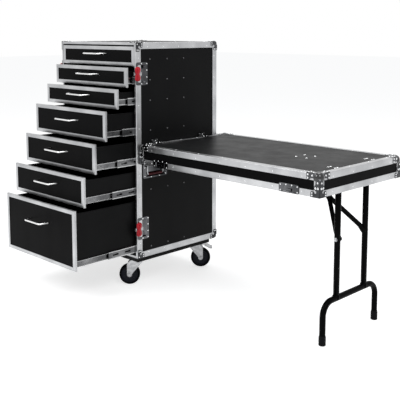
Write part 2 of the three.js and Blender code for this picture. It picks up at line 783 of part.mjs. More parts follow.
// Castors. Each is drawn with its swivel axis at the origin, the floor at z = 0 and its trail along +X.
const headTop = castor.height - castor.plate - fit;
const headLow = headTop - castor.head;
const cheekIn = castor.tread / 2 + castor.sideGap;
const cheekOut = cheekIn + castor.cheek;
const pedalPin = new THREE.Vector3(castor.trail + castor.pinForward, 0, headLow - castor.pinDrop);

function castorFork(withPin) {
  const headFoot = new THREE.Vector3(0, 0, headLow);
  const head = rod(headFoot, headFoot.clone().setZ(headTop), castor.headRadius, pinSides);
  const webLow = headLow - castor.web;
  const web = block(
    [-castor.headRadius, -cheekOut, webLow],
    [castor.headRadius, cheekOut, headLow + castor.web],
  );
  const outline = new THREE.Shape();
  outline.moveTo(-castor.headRadius, headLow);
  outline.lineTo(-castor.headRadius, webLow - castor.web);
  outline.lineTo(castor.trail - castor.eye, castor.wheelRadius);
  outline.absarc(castor.trail, castor.wheelRadius, castor.eye, Math.PI, Math.PI * 2, false);
  outline.lineTo(castor.trail + castor.eye, headLow - castor.waist);
  outline.lineTo(castor.headRadius, headLow);
  const cheek = placed(extruded(outline, castor.cheek, eyeSteps), origin, X, Z, Y.clone().negate());
  const cheeks = [moved(cheek, 0, cheekOut, 0), moved(cheek, 0, -cheekIn, 0)];
  const axleEnd = cheekOut + castor.cheek;
  const axle = rod(
    new THREE.Vector3(castor.trail, -axleEnd, castor.wheelRadius),
    new THREE.Vector3(castor.trail, axleEnd, castor.wheelRadius),
    castor.axle,
    pinSides,
  );
  const pieces = [head, web, ...cheeks, axle];
  if (withPin) {
    const pinEnd = cheekIn + castor.cheek / 2;
    pieces.push(crossRod(pedalPin, -pinEnd, pinEnd, castor.pinRadius, pinSides));
  }
  return joined(pieces);
}

// The wheel stands on a flat facet, so its corner radius is a little over the rolling radius.
function castorWheel() {
  const rim = castor.wheelRadius / Math.cos(Math.PI / wheelSides);
  const side = [
    [castor.axle + fit, castor.hubWide / 2], [castor.hub, castor.hubWide / 2],
    [castor.recessOut, castor.recess / 2], [castor.tyreIn, castor.tread / 2], [rim, castor.crown / 2],
  ];
  const other = side.map(([radius, axial]) => [radius, -axial]).reverse();
  const wheel = revolved([...side, ...other], wheelSides);
  wheel.rotateY(Math.PI / wheelSides);
  return wheel;
}

function brakePedal() {
  const { pedalWall, pedalReach, pedalDrop } = castor;
  const knuckleRadius = castor.pinRadius + pedalWall;
  const half = castor.pedalWide / 2;
  const tongue = polygon([
    [0, knuckleRadius - pedalWall], [pedalReach / 2, knuckleRadius - pedalWall], [pedalReach, -pedalDrop],
    [pedalReach, pedalWall - pedalDrop], [pedalReach / 2, knuckleRadius], [0, knuckleRadius],
  ]);
  const edge = new THREE.Vector3(0, half, 0);
  const plate = placed(extruded(tongue, castor.pedalWide), edge, X, Z, Y.clone().negate());
  const ring = crossRod(origin, -half, half, knuckleRadius, pinSides);
  const hole = crossRod(origin, -castor.pedalWide, castor.pedalWide, castor.pinRadius + fit, pinSides);
  return cutBy(joined([plate, ring]), [hole]);
}

const castorX = halfWidth - castor.fromSide;
const rearCastorY = shell.depth - castor.fromEnd;
const castorPlaces = [
  ['front_right', castorX, castor.fromEnd, frontTrailAngle],
  ['front_left', -castorX, castor.fromEnd, frontTrailAngle],
  ['rear_right', castorX, rearCastorY, rearTrailAngle],
  ['rear_left', -castorX, rearCastorY, rearTrailAngle],
];
for (const [name, x, y, turn] of castorPlaces) {
  const braked = y === rearCastorY;
  const swivel = new THREE.Group();
  swivel.position.set(x, y, 0);
  swivel.rotation.z = turn;
  assembly.add(swivel);
  addMesh(`castor_fork_${name}`, castorFork(braked), 'zinc', swivel);
  const wheel = addMesh(`castor_wheel_${name}`, castorWheel(), 'rubber', swivel);
  wheel.position.set(castor.trail, 0, castor.wheelRadius);
  if (braked) {
    const pedal = addMesh(`castor_pedal_${name}`, brakePedal(), 'zinc', swivel);
    pedal.position.copy(pedalPin);
  }
}

// The board under the case with the four castor plates bolted to it. The case's corner fittings rest on it.
const boardTop = castor.height + board.thick - rimBrace.sheet - fit;
const plates = castorPlaces.map(([, x, y]) => block(
  [x - castor.plateX / 2, y - castor.plateY / 2, castor.height - castor.plate],
  [x + castor.plateX / 2, y + castor.plateY / 2, castor.height + bite],
));
const boardBlock = block(
  [board.inset - halfWidth, board.inset, castor.height],
  [halfWidth - board.inset, shell.depth - board.rearInset, boardTop],
);
addMesh('castor_board', joined([boardBlock, ...plates]), 'plywood', assembly);

// The table: the lid turned over, drawn from its low near corner at the case.
const tableGroup = new THREE.Group();
tableGroup.position.set(halfWidth + lid.gap, lid.nearY, lid.topHeight - lid.height);
assembly.add(tableGroup);

const lidUnder = lid.height - skin - shell.ply;
const wallIn = skin + shell.ply;
const wallBlank = block([skin, skin, skin], [lid.length - skin, lid.width - skin, lidUnder - fit]);
const wallHollow = block([wallIn, wallIn, -overrun], [lid.length - wallIn, lid.width - wallIn, lid.height]);
addMesh('table_walls', cutBy(wallBlank, [wallHollow]), 'laminate', tableGroup);

// A keeper plate with the catch that a latch hook pulls on, drawn on a face square to Y.
function latchKeeper() {
  const plate = extruded(roundedRectangle(
    -keeper.wide / 2,
    keeper.wide / 2,
    0,
    keeper.tall,
    keeper.corner,
  ), keeper.sheet + bite);
  const catchBlock = block(
    [-keeper.catchWide / 2, keeper.tall / 2 - keeper.catchTall / 2, keeper.sheet / 2],
    [keeper.catchWide / 2, keeper.tall / 2 + keeper.catchTall / 2, keeper.catchOut],
  );
  return placed(joined([plate, catchBlock]), new THREE.Vector3(0, bite, 0), X, Z, Y.clone().negate());
}

// A hook bent from sheet: base on the table's top edge, riser, and a lip over the case's ledge.
function tableHook(y) {
  const { base, sheet, rise } = hanger;
  const lipEnd = fit - lid.gap;
  const profile = polygon([
    [0, -bite], [base, -bite], [base, sheet], [sheet, sheet], [sheet, rise], [lipEnd, rise],
    [lipEnd, rise - sheet], [0, rise - sheet],
  ]);
  const bent = extruded(profile, hanger.wide);
  const at = new THREE.Vector3(0, y - lid.nearY + hanger.wide / 2, lid.height);
  return placed(bent, at, X, Z, Y.clone().negate());
}

// The table's frame: angles, four ball corners, four rim braces, keepers and the two hanging hooks.
function tableFrame() {
  const wide = [lid.flange, lid.flange];
  const bars = boxEdges([lid.length, lid.width, lid.height], [wide, wide, [angle.rim, lid.flange]], angle);
  const ball = cornerFitting(lidCorner, ['alongXY', 'alongYZ', 'alongZX']);
  const rimPlane = block([-overrun, -overrun, -overrun], [rimBrace.reach, rimBrace.reach, 0]);
  const flat = cutBy(cornerFitting(rimBrace, ['alongYZ', 'alongZX']), [rimPlane]);
  const pieces = [];
  for (const [x, sideX] of [[0, 1], [lid.length, -1]]) {
    for (const [y, sideY] of [[0, 1], [lid.width, -1]]) {
      pieces.push(atCorner(ball, x, y, lid.height, sideX, sideY, -1));
      pieces.push(atCorner(flat, x, y, 0, sideX, sideY, 1));
    }
  }
  for (const x of [latch.fromEnd, lid.length - latch.fromEnd]) {
    const near = moved(latchKeeper(), x, 0, 0);
    pieces.push(near, placed(near, new THREE.Vector3(0, lid.width, 0), X, Y.clone().negate(), Z));
  }
  const strapFrom = hanger.nearY - lid.nearY + hanger.wide / 2 - hanger.sheet;
  const strap = block(
    [hanger.base - hanger.strapWide, strapFrom, lid.height - bite],
    [hanger.base, strapFrom + hanger.strap, lid.height + hanger.strapThick],
  );
  return joined([...bars, ...pieces, tableHook(hanger.nearY), tableHook(hanger.farY), strap]);
}
addMesh('table_frame', tableFrame(), 'aluminium', tableGroup);

// The folding leg and its toggle brace, drawn in the table's frame.
const lidMiddle = lid.width / 2;
const pivotX = lid.length - leg.fromEnd;
const pivotZ = lid.height - leg.pivotDrop;
const floorZ = lid.height - lid.topHeight;
const boltZ = pivotZ - brace.fromPivot;
const knuckle = new THREE.Vector3(pivotX - brace.knuckleX, lidMiddle, boltZ + brace.knuckleZ);
const anchor = new THREE.Vector3(pivotX - brace.anchorX, lidMiddle, pivotZ);
const earIn = leg.spread / 2 + leg.tube + mount.sideGap;

function legFrame() {
  const halfFeet = leg.feet / 2;
  const spot = (y, z) => new THREE.Vector3(pivotX, lidMiddle + y, z);
  const footZ = floorZ + leg.capFloor;
  const barZ = floorZ + leg.bar;
  const floorBar = bentTube([
    spot(-halfFeet, footZ), spot(-halfFeet, barZ), spot(halfFeet, barZ), spot(halfFeet, footZ),
  ], leg.bend, leg.tube, tubeSides);
  const pieces = [floorBar];
  for (const side of [1, -1]) {
    const y = (side * leg.spread) / 2;
    pieces.push(rod(spot(y, barZ), spot(y, pivotZ + leg.axle), leg.tube, tubeSides));
    pieces.push(crossRod(spot(y, boltZ), 0, side * (leg.tube + leg.boltHead), leg.bolt, thinSides));
    const footY = side * halfFeet;
    pieces.push(rod(spot(footY, floorZ), spot(footY, floorZ + leg.capTall), leg.cap, tubeSides));
  }
  const axleEnd = earIn + mount.sheet + leg.axleOver;
  pieces.push(crossRod(spot(0, pivotZ), -axleEnd, axleEnd, leg.axle, pinSides));
  return joined(pieces);
}
addMesh('leg_frame', legFrame(), 'blackSteel', tableGroup);

// A flat bar between two points with its ends square to Y, stepped over in Y between them.
function steppedBar(from, to, fromY, toY, thick) {
  const along = new THREE.Vector3(to.x - from.x, 0, to.z - from.z);
  const length = along.length();
  along.normalize();
  const across = new THREE.Vector3(-along.z, 0, along.x).multiplyScalar(brace.bar / 2);
  const stations = [
    [-brace.over, fromY], [brace.flat, fromY], [length - brace.flat, toY], [length + brace.over, toY],
  ];
  const corners = [[1, -thick / 2], [1, thick / 2], [-1, thick / 2], [-1, -thick / 2]];
  const rings = stations.map(([distance, y]) => corners.map(([edge, offset]) => new THREE.Vector3(
    from.x,
    y + offset,
    from.z,
  ).addScaledVector(along, distance).addScaledVector(across, edge)));
  return lofted(rings);
}

const cheekY = brace.linkThick / 2 + brace.linkGap;

function wishbone() {
  const bolt = new THREE.Vector3(pivotX, lidMiddle, boltZ);
  const boltY = leg.spread / 2 - leg.tube - brace.sideGap - brace.thick / 2;
  const bars = [1, -1].map((side) => steppedBar(
    bolt,
    knuckle,
    lidMiddle + side * boltY,
    lidMiddle + side * (cheekY + brace.thick / 2),
    brace.thick,
  ));
  const pinEnd = cheekY + brace.thick + brace.pinHead;
  return joined([...bars, crossRod(knuckle, -pinEnd, pinEnd, brace.pin, pinSides)]);
}
addMesh('wishbone_brace', wishbone(), 'blackSteel', tableGroup);

const linkBar = steppedBar(anchor, knuckle, lidMiddle, lidMiddle, brace.linkThick);
const linkHoles = [anchor, knuckle].map((at) => crossRod(
  at,
  -brace.linkThick,
  brace.linkThick,
  brace.pin + fit,
  pinSides,
));
addMesh('upper_link', cutBy(linkBar, linkHoles), 'blackSteel', tableGroup);

// Brackets under the table's panel: an ear for each end of the leg's axle, a fork for the upper link.
function bracketEar(x, y, top) {
  const shape = new THREE.Shape();
  shape.moveTo(-mount.ear, top - pivotZ);
  shape.lineTo(-mount.ear, 0);
  shape.absarc(0, 0, mount.ear, Math.PI, Math.PI * 2, false);
  shape.lineTo(mount.ear, top - pivotZ);
  const at = new THREE.Vector3(x, y, pivotZ);
  return placed(extruded(shape, mount.sheet, eyeSteps), at, X, Z, Y.clone().negate());
}

function legBracket(side) {
  const sides = [lidMiddle + side * earIn, lidMiddle + side * (earIn + mount.wide)];
  const plate = block(
    [pivotX - mount.long / 2, Math.min(...sides), lidUnder - mount.sheet],
    [pivotX + mount.long / 2, Math.max(...sides), lidUnder + bite],
  );
  const ear = bracketEar(pivotX, sides[0] + (side > 0 ? mount.sheet : 0), lidUnder - mount.sheet / 2);
  const axleAt = new THREE.Vector3(pivotX, lidMiddle, pivotZ);
  const hole = crossRod(axleAt, 0, side * (earIn + mount.wide), leg.axle + leg.axleGap, pinSides);
  return cutBy(joined([plate, ear]), [hole]);
}

const tableBoard = block([skin, skin, lidUnder], [lid.length - skin, lid.width - skin, lid.height - skin]);
const tableFacing = block(
  [facing.inset, facing.inset, lid.height - skin - bite],
  [lid.length - facing.inset, lid.width - facing.inset, lid.height - skin + facing.thick],
);
const brackets = [legBracket(1), legBracket(-1)];
addMesh('table_panel', joined([tableBoard, tableFacing, ...brackets]), 'laminate', tableGroup);

function toggleBracket() {
  const top = lidUnder - fit;
  const outer = cheekY + mount.sheet;
  const plate = block(
    [anchor.x - mount.toggleWide / 2, lidMiddle - outer, top - mount.sheet],
    [anchor.x + mount.toggleWide / 2, lidMiddle + outer, top],
  );
  const cheeks = [lidMiddle - cheekY, lidMiddle + outer].map((y) => bracketEar(
    anchor.x,
    y,
    top - mount.sheet / 2,
  ));
  const pinEnd = outer - mount.sheet / 2;
  return joined([plate, ...cheeks, crossRod(anchor, -pinEnd, pinEnd, brace.pin, pinSides)]);
}
addMesh('toggle_bracket', toggleBracket(), 'zinc', tableGroup);

// The part stands on the floor with the middle of its bounding box over the origin.
const bounds = new THREE.Box3().setFromObject(assembly, true);
assembly.position.set(-(bounds.min.x + bounds.max.x) / 2, -(bounds.min.y + bounds.max.y) / 2, -bounds.min.z);

export default assembly;
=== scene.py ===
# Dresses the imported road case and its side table. Forms are drawn in millimetres and made in metres.
import math
import bpy
from mathutils import Matrix, Vector

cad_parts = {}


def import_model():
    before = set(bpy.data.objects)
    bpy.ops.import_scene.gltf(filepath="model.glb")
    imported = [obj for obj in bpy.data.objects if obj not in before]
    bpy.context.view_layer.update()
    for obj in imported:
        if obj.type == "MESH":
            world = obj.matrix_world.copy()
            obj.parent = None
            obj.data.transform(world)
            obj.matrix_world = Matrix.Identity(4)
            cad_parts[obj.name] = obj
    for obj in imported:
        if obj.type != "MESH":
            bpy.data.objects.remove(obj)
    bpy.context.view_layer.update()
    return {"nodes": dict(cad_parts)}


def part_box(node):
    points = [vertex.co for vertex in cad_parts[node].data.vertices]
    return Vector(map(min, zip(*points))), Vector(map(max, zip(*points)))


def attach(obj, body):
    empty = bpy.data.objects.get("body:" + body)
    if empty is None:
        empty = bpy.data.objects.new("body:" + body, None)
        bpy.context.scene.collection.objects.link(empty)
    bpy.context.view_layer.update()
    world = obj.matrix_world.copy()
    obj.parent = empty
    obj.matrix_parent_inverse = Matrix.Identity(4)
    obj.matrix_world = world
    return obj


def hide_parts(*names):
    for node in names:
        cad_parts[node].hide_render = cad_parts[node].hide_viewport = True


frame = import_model()
MM = 0.001
# The play between fitted parts, the thickness of the edging, and that of the plywood.
FIT, SKIN, PLY = 0.3, 1.8, 9.5
WIDTH, DEPTH, HEIGHT = 580, 540, 1020
HALF = WIDTH / 2
LID_LONG, LID_WIDE, LID_HIGH = 1020, 580, 92

# The case's own frame starts at its lower edge, in the middle of its front. The table's starts at
# its low near corner beside the case, and the castors' at the floor under the case's front.
back_low, back_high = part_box("back_panel")
CASE = Vector(((back_low.x + back_high.x) / 2, back_low.y - (DEPTH - SKIN - PLY) * MM, back_low.z - SKIN * MM))
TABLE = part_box("table_walls")[0] - Vector((SKIN, SKIN, SKIN)) * MM
FLOOR = Vector((CASE.x, CASE.y, 0))

X, Y, Z = AXES = Vector((1, 0, 0)), Vector((0, 1, 0)), Vector((0, 0, 1))
ORIGIN = (0, 0, 0)
ENDS = (1, -1)


class Form:
    # Vertices and faces in millimetres, gathered before they become one mesh.
    def __init__(self, verts=(), faces=()):
        self.verts = [Vector(v) for v in verts]
        self.faces = [tuple(f) for f in faces]

    def moved(self, x, y, z):
        return Form([v + Vector((x, y, z)) for v in self.verts], self.faces)

    def placed(self, at, x_axis, y_axis, z_axis):
        turn = Matrix((x_axis, y_axis, z_axis)).transposed()
        faces = self.faces if turn.determinant() > 0 else [f[::-1] for f in self.faces]
        return Form([turn @ v + Vector(at) for v in self.verts], faces)

    def mirrored(self):
        return self.placed(ORIGIN, -X, Y, Z)


def gathered(forms):
    whole = Form()
    for form in forms:
        start = len(whole.verts)
        whole.verts += [v.copy() for v in form.verts]
        whole.faces += [tuple(i + start for i in f) for f in form.faces]
    return whole


def box(low, high):
    (a, b, c), (d, e, f) = low, high
    verts = [(a, b, c), (d, b, c), (d, e, c), (a, e, c), (a, b, f), (d, b, f), (d, e, f), (a, e, f)]
    return Form(verts, [(0, 3, 2, 1), (4, 5, 6, 7), (0, 1, 5, 4), (1, 2, 6, 5), (2, 3, 7, 6), (3, 0, 4, 7)])


def loft(rings, closed=False):
    # A skin through rings that run anticlockwise round the way they follow, capped unless closed.
    count = len(rings[0])
    faces = []
    for r in range(len(rings) if closed else len(rings) - 1):
        a, b = r * count, (r + 1) % len(rings) * count
        for i in range(count):
            j = (i + 1) % count
            faces.append((a + i, a + j, b + j, b + i))
    if not closed:
        faces.append(tuple(range(count))[::-1])
        faces.append(tuple((len(rings) - 1) * count + i for i in range(count)))
    return Form([v for ring in rings for v in ring], faces)


def level(outline, z):
    return [(x, y, z) for x, y in outline]


def both_ways(half):
    # An outline from half of it and the mirror image of that half below.
    return [(x, -y) for x, y in half] + half[::-1]


def prism(outline, low, high):
    # An anticlockwise outline in X and Y, drawn out along Z.
    return loft([level(outline, low), level(outline, high)])


def upright(outline, thick, end, x=0, z=0):
    # An outline in X and Z, drawn out along Y up to that end.
    return prism(outline, 0, thick).placed((x, end, z), X, Z, -Y)


def ring_band(outer, inner, low, high):
    # A flat frame between two outlines with the same number of points.
    rings = [level(outer, low), level(outer, high), level(inner, high), level(inner, low)]
    return loft(rings, closed=True)


def arc(cx, cy, radius, start, end, steps):
    angles = [math.radians(start + (end - start) * i / steps) for i in range(steps + 1)]
    return [(cx + radius * math.cos(a), cy + radius * math.sin(a)) for a in angles]


def rounded(x0, x1, y0, y1, radius, steps=4):
    places = ((x1 - radius, y0 + radius, -90), (x1 - radius, y1 - radius, 0), (x0 + radius, y1 - radius, 90),
              (x0 + radius, y0 + radius, 180))
    return [spot for x, y, start in places for spot in arc(x, y, radius, start, start + 90, steps)]


def inset(x0, x1, y0, y1, radius, by):
    return rounded(x0 + by, x1 - by, y0 + by, y1 - by, max(radius - by, 1.5))


def circle(middle, side, other, radius, sides):
    turns = [2 * math.pi * i / sides for i in range(sides)]
    return [middle + (side * math.cos(t) + other * math.sin(t)) * radius for t in turns]


def turned(profile, sides, at=ORIGIN, axis=Z):
    # Radius and height pairs, turned round an axis. Ends at radius 0 close by themselves.
    side = axis.orthogonal().normalized()
    other = axis.cross(side)
    return loft([circle(Vector(at) + axis * height, side, other, max(radius, 0.01), sides)
                 for radius, height in profile])


def ring_turned(profile, sides, at, axis):
    # The same for a closed profile round a bore.
    form = turned(profile, sides, at, axis)
    last = (len(profile) - 1) * sides
    form.faces = form.faces[:-2]
    for i in range(sides):
        j = (i + 1) % sides
        form.faces.append((last + i, last + j, j, i))
    return form


def ball_arc(radius, steps, whole):
    # The profile of a ball from its outer pole, as many steps on as asked, out of the whole number.
    angles = [math.pi * i / whole for i in range(steps + 1)]
    return [(radius * math.sin(a), -radius * math.cos(a)) for a in angles]


def rod(start, end, radius, sides=24, edge=0.6):
    along = Vector(end) - Vector(start)
    long = along.length
    profile = [(0, 0), (radius - edge, 0), (radius, edge), (radius, long - edge), (radius - edge, long),
               (0, long)]
    return turned(profile, sides, start, along.normalized())


def bent(corners, bend, steps=6):
    # Straight runs with rounded corners.
    corners = [Vector(c) for c in corners]
    path = [corners[0]]
    for before, here, after in zip(corners, corners[1:], corners[2:]):
        a, b = (before - here).normalized(), (after - here).normalized()
        half = a.angle(b) / 2
        centre = here + (a + b).normalized() * bend / math.sin(half)
        first = here + a * bend / math.tan(half) - centre
        last = here + b * bend / math.tan(half) - centre
        sweep = math.pi - 2 * half
        for i in range(steps + 1):
            t = i / steps
            between = first * math.sin(sweep * (1 - t)) + last * math.sin(sweep * t)
            path.append(centre + between / math.sin(sweep))
    path.append(corners[-1])
    return path


def tube(path, radius, sides=16):
    # A round bar along a path that lies in one plane or nearly so.
    ends = [path[0]] + path + [path[-1]]
    ways = [(after - before).normalized() for before, after in zip(ends, ends[2:])]
    side = ways[0].orthogonal().normalized()
    rings = []
    for point, way in zip(path, ways):
        side = (side - way * side.dot(way)).normalized()
        rings.append(circle(point, side, way.cross(side), radius, sides))
    return loft(rings)


def plate(x0, x1, y0, y1, holes, low, high):
    # A flat board in X and Y with square holes, from low to high in Z.
    xs = sorted({x0, x1, *[v for h in holes for v in h[:2]]})
    ys = sorted({y0, y1, *[v for h in holes for v in h[2:]]})
    spots, verts, faces = {}, [], []

    def vertex(i, j, top):
        if (i, j, top) not in spots:
            spots[i, j, top] = len(verts)
            verts.append((xs[i], ys[j], high if top else low))
        return spots[i, j, top]

    def solid(i, j):
        if not (0 <= i < len(xs) - 1 and 0 <= j < len(ys) - 1):
            return False
        x, y = (xs[i] + xs[i + 1]) / 2, (ys[j] + ys[j + 1]) / 2
        return not any(a < x < b and c < y < d for a, b, c, d in holes)

    for i in range(len(xs) - 1):
        for j in range(len(ys) - 1):
            if not solid(i, j):
                continue
            ring = [(i, j), (i + 1, j), (i + 1, j + 1), (i, j + 1)]
            faces.append(tuple(vertex(a, b, 1) for a, b in ring))
            faces.append(tuple(vertex(a, b, 0) for a, b in ring[::-1]))
            for k, (di, dj) in enumerate([(0, -1), (1, 0), (0, 1), (-1, 0)]):
                if not solid(i + di, j + dj):
                    (a, b), (c, d) = ring[k], ring[(k + 1) % 4]
                    faces.append((vertex(a, b, 0), vertex(c, d, 0), vertex(c, d, 1), vertex(a, b, 1)))
    return Form(verts, faces)


# A head's foot lies this far below the face that it sits on.
SUNK = -0.6


def rivet(at, way, radius, height, sides=12):
    # A low domed head.
    profile = [(0, SUNK), (radius, SUNK), (radius, 0.15), (radius * 0.86, height * 0.62),
               (radius * 0.5, height * 0.93), (0, height)]
    return turned(profile, sides, at, way)


def screw(at, way, radius, height):
    # A pan head with a dished drive.
    profile = [(0, SUNK), (radius, SUNK), (radius, height * 0.35), (radius * 0.8, height * 0.85),
               (radius * 0.5, height), (radius * 0.4, height), (radius * 0.25, height * 0.3), (0, height * 0.3)]
    return turned(profile, 14, at, way)


def hex_nut(at, way, across, tall):
    return turned([(0, 0), (across, 0), (across, tall - 1), (across * 0.86, tall), (0, tall)], 6, at, way)


def linked(name, data):
    # A new object in the scene.
    thing = bpy.data.objects.new(name, data)
    bpy.context.scene.collection.objects.link(thing)
    return thing


def make(name, forms, origin, material, body, replaces=(), slot="", bevel=0.0, angle=35):
    # Turns forms into a piece of the scene that rides on a body.
    form = gathered(forms)
    mesh = bpy.data.meshes.new(name)
    mesh.from_pydata([v * MM + origin for v in form.verts], [], form.faces)
    mesh.validate()
    for polygon in mesh.polygons:
        polygon.use_smooth = True
    mesh.set_sharp_from_angle(angle=math.radians(angle))
    piece = linked(name, mesh)
    mesh.materials.append(material)
    if bevel:
        soft = piece.modifiers.new("edges", "BEVEL")
        soft.width = bevel * MM
        soft.segments = 2
        soft.limit_method = "ANGLE"
        soft.angle_limit = math.radians(40)
        soft.harden_normals = True
    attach(piece, body)
    if replaces:
        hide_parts(*replaces)


def on_case(name, forms, material, *nodes, **look):
    make(name, forms, CASE, material, "case", nodes, **look)


def on_table(name, forms, material, *nodes, **look):
    make(name, forms, TABLE, material, "table", nodes, **look)


# Materials. Every coordinate is the object's own, so nothing slides when a body moves.
NOISE, CELLS = "TexNoise", "TexVoronoi"
EVEN, SURFACE = (1, 1, 1), "Principled BSDF"


def add_node(tree, kind, inputs=(), operation=""):
    # A new node. Its inputs get a number or colour, or a link from another node's output.
    node = tree.nodes.new("ShaderNode" + kind)
    if operation:
        node.operation = operation
    for name, value in dict(inputs).items():
        if isinstance(value, bpy.types.NodeSocket):
            tree.links.new(value, node.inputs[name])
        else:
            node.inputs[name].default_value = value
    return node


def shader(name, colour, roughness, metallic=0.0, specular=0.5, coat=0.0, coat_roughness=0.12):
    material = bpy.data.materials.new(name)
    material.use_nodes = True
    settings = {"Base Color": (*colour, 1), "Roughness": roughness, "Metallic": metallic,
                "Specular IOR Level": specular, "Coat Weight": coat, "Coat Roughness": coat_roughness}
    for socket, value in settings.items():
        material.node_tree.nodes[SURFACE].inputs[socket].default_value = value
    material.diffuse_color = (*colour, 1)
    return material


def emptied(owner):
    # The node tree of a material or world, with nothing in it.
    owner.use_nodes = True
    owner.node_tree.nodes.clear()
    return owner.node_tree


def textured(material, kind, scale, stretch=EVEN, detail=4.0, output="Distance"):
    # One noise or cell pattern in object space. Gives the socket with its value.
    tree = material.node_tree
    place = add_node(tree, "TexCoord").outputs["Object"]
    mapping = add_node(tree, "Mapping", {"Scale": stretch, "Vector": place})
    texture = add_node(tree, kind, {"Scale": scale, "Vector": mapping.outputs["Vector"]})
    if kind == NOISE:
        texture.inputs["Detail"].default_value = detail
        return texture.outputs["Fac"]
    return texture.outputs[output]


def ranged(material, value, low, high, to_low, to_high):
    return add_node(material.node_tree, "MapRange", {"From Min": low, "From Max": high, "To Min": to_low,
                                                     "To Max": to_high, "Value": value}).outputs["Result"]


def drive(material, socket, value):
    tree = material.node_tree
    tree.links.new(value, tree.nodes[SURFACE].inputs[socket])


def tinted(material, value, low, high):
    # A colour that wanders between two shades.
    ramp = add_node(material.node_tree, "ValToRGB", {"Fac": value})
    for element, position, colour in zip(ramp.color_ramp.elements, (0.35, 0.68), (low, high)):
        element.position = position
        element.color = (*colour, 1)
    drive(material, "Base Color", ramp.outputs["Color"])


def bumped(material, values):
    # Stacks bumps. Each is a height value with its depth in millimetres.
    below = {}
    for value, depth in values:
        settings = {"Strength": 1, "Distance": depth * MM, "Height": value, **below}
        bump = add_node(material.node_tree, "Bump", settings)
        below = {"Normal": bump.outputs["Normal"]}
    drive(material, "Normal", below["Normal"])


def glossed(material, scale, roughness, less, more, **look):
    # A gloss that wanders round the given roughness.
    value = textured(material, NOISE, scale, **look)
    drive(material, "Roughness", ranged(material, value, 0.3, 0.7, roughness - less, roughness + more))


def laminate(name, dark, light, roughness, specular=0.07):
    # Black facing on plywood: a fine pebble, slow shade changes and faint rubbed streaks.
    made = shader(name, light, roughness, specular=specular)
    tinted(made, textured(made, NOISE, 5.0, detail=6), dark, light)
    glossed(made, 14.0, roughness, 0.03, 0.05, stretch=(1, 1, 0.25), detail=8)
    bumped(made, [(textured(made, CELLS, 650.0), 0.05), (textured(made, NOISE, 60.0, detail=3), 0.05)])
    return made


def painted_web_shade(material, shade, track):
    # On a runner the web between the lips is painted dark as shade inside the channel, and only the ball
    # tracks, from this share of the
    #  height out from the middle, keep the bright steel. Generated coordinates run from 0 to 1 over a runner
    #  with its balls.
    tree = material.node_tree
    value = add_node(tree, "SeparateXYZ", {0: add_node(tree, "TexCoord").outputs["Generated"]}).outputs["Z"]
    for operation, number in (("SUBTRACT", 0.5), ("ABSOLUTE", 0)):
        value = add_node(tree, "Math", {0: value, 1: number}, operation).outputs[0]
    out = ranged(material, value, track - 0.02, track + 0.015, 0.2, 0.5)
    return add_node(tree, "Math", {0: out, 1: ranged(material, shade, 0.3, 0.7, 0.12, 0.24)}, "ADD").outputs[0]


def metal(name, dark, light, roughness, spread, stretch, grain, depth, cells=0.0, track=0.0, **coat):
    # Bare or plated metal: drawn or rolled grain, with shade and gloss that wander.
    made = shader(name, light, roughness, metallic=1.0, **coat)
    shade = textured(made, CELLS, cells, output="Color") if cells else textured(made, NOISE, 9.0)
    # A runner's web gets painted shade, darker than its ball tracks.
    if track:
        shade = painted_web_shade(made, shade, track)
    tinted(made, shade, dark, light)
    lines = textured(made, NOISE, grain, stretch=stretch, detail=3)
    glossed(made, 22.0, roughness, spread, spread, detail=5)
    bumped(made, [(lines, depth), (textured(made, NOISE, 35.0, detail=2), depth * 2)])
    return made


def coated(name, dark, light, roughness, peel, depth, specular):
    # Powder coat, paint, rubber or moulded plastic: an even skin with a small peel or pebble.
    made = shader(name, light, roughness, specular=specular)
    tinted(made, textured(made, NOISE, 12.0, detail=6), dark, light)
    glossed(made, 40.0, roughness, 0.06, 0.1, detail=5)
    bumped(made, [(textured(made, NOISE, peel, detail=3), depth)])
    return made


DRAWN = {"x": (0.012, 1, 1), "y": (1, 0.012, 1), "z": (1, 1, 0.012)}
board_black = laminate("board_black", (0.004, 0.0041, 0.0044), (0.0062, 0.0063, 0.0066), 0.42)
table_black = laminate("table_black", (0.0074, 0.0075, 0.0078), (0.0098, 0.01, 0.0104), 0.38, 0.045)
drawer_black = laminate("drawer_black", (0.0022, 0.0022, 0.0024), (0.0036, 0.0036, 0.0039), 0.46, 0.03)
aluminium = {way: metal("aluminium_" + way, (0.4, 0.405, 0.415), (0.55, 0.555, 0.565), 0.34, 0.06, stretch,
                        900.0, 0.012) for way, stretch in DRAWN.items()}
chrome = metal("chrome", (0.03, 0.031, 0.033), (0.12, 0.122, 0.128), 0.09, 0.05, EVEN, 300.0, 0.004)
# The balls are the same chrome as the plates, painted darker to stand in for the dark reflections a ball shows.
painted_reflection_chrome = metal("painted_reflection_chrome", (0.012, 0.0122, 0.013), (0.03, 0.031, 0.033), 0.08, 0.03, EVEN, 300.0, 0.003,
                    coat=1.0, coat_roughness=0.04)
rivet_steel = metal("rivet_steel", (0.7, 0.71, 0.72), (0.82, 0.83, 0.84), 0.2, 0.05, EVEN, 500.0, 0.01)
zinc = metal("zinc", (0.36, 0.365, 0.375), (0.46, 0.465, 0.475), 0.32, 0.07, EVEN, 500.0, 0.012, cells=110.0)
satin_steel = metal("satin_steel", (0.4, 0.4, 0.41), (0.55, 0.55, 0.56), 0.28, 0.05, DRAWN["x"], 900.0, 0.01)
runner_steel = metal("runner_steel", (0.27, 0.275, 0.28), (0.38, 0.385, 0.39), 0.26, 0.06, DRAWN["y"], 700.0,
                     0.01)
# The runners' members: their webs carry painted shade between the bright ball tracks.
track_steel, rail_steel = [
    metal(name, (0.1, 0.101, 0.105), (0.6, 0.605, 0.61), 0.26, 0.06, DRAWN["y"], 700.0, 0.01, track=track)
    for name, track in (("track_steel", 13.4 / 42.2), ("rail_steel", 10.3 / 32.3))]
dark_zinc = metal("dark_zinc", (0.09, 0.09, 0.095), (0.16, 0.16, 0.165), 0.34, 0.06, EVEN, 500.0, 0.01)
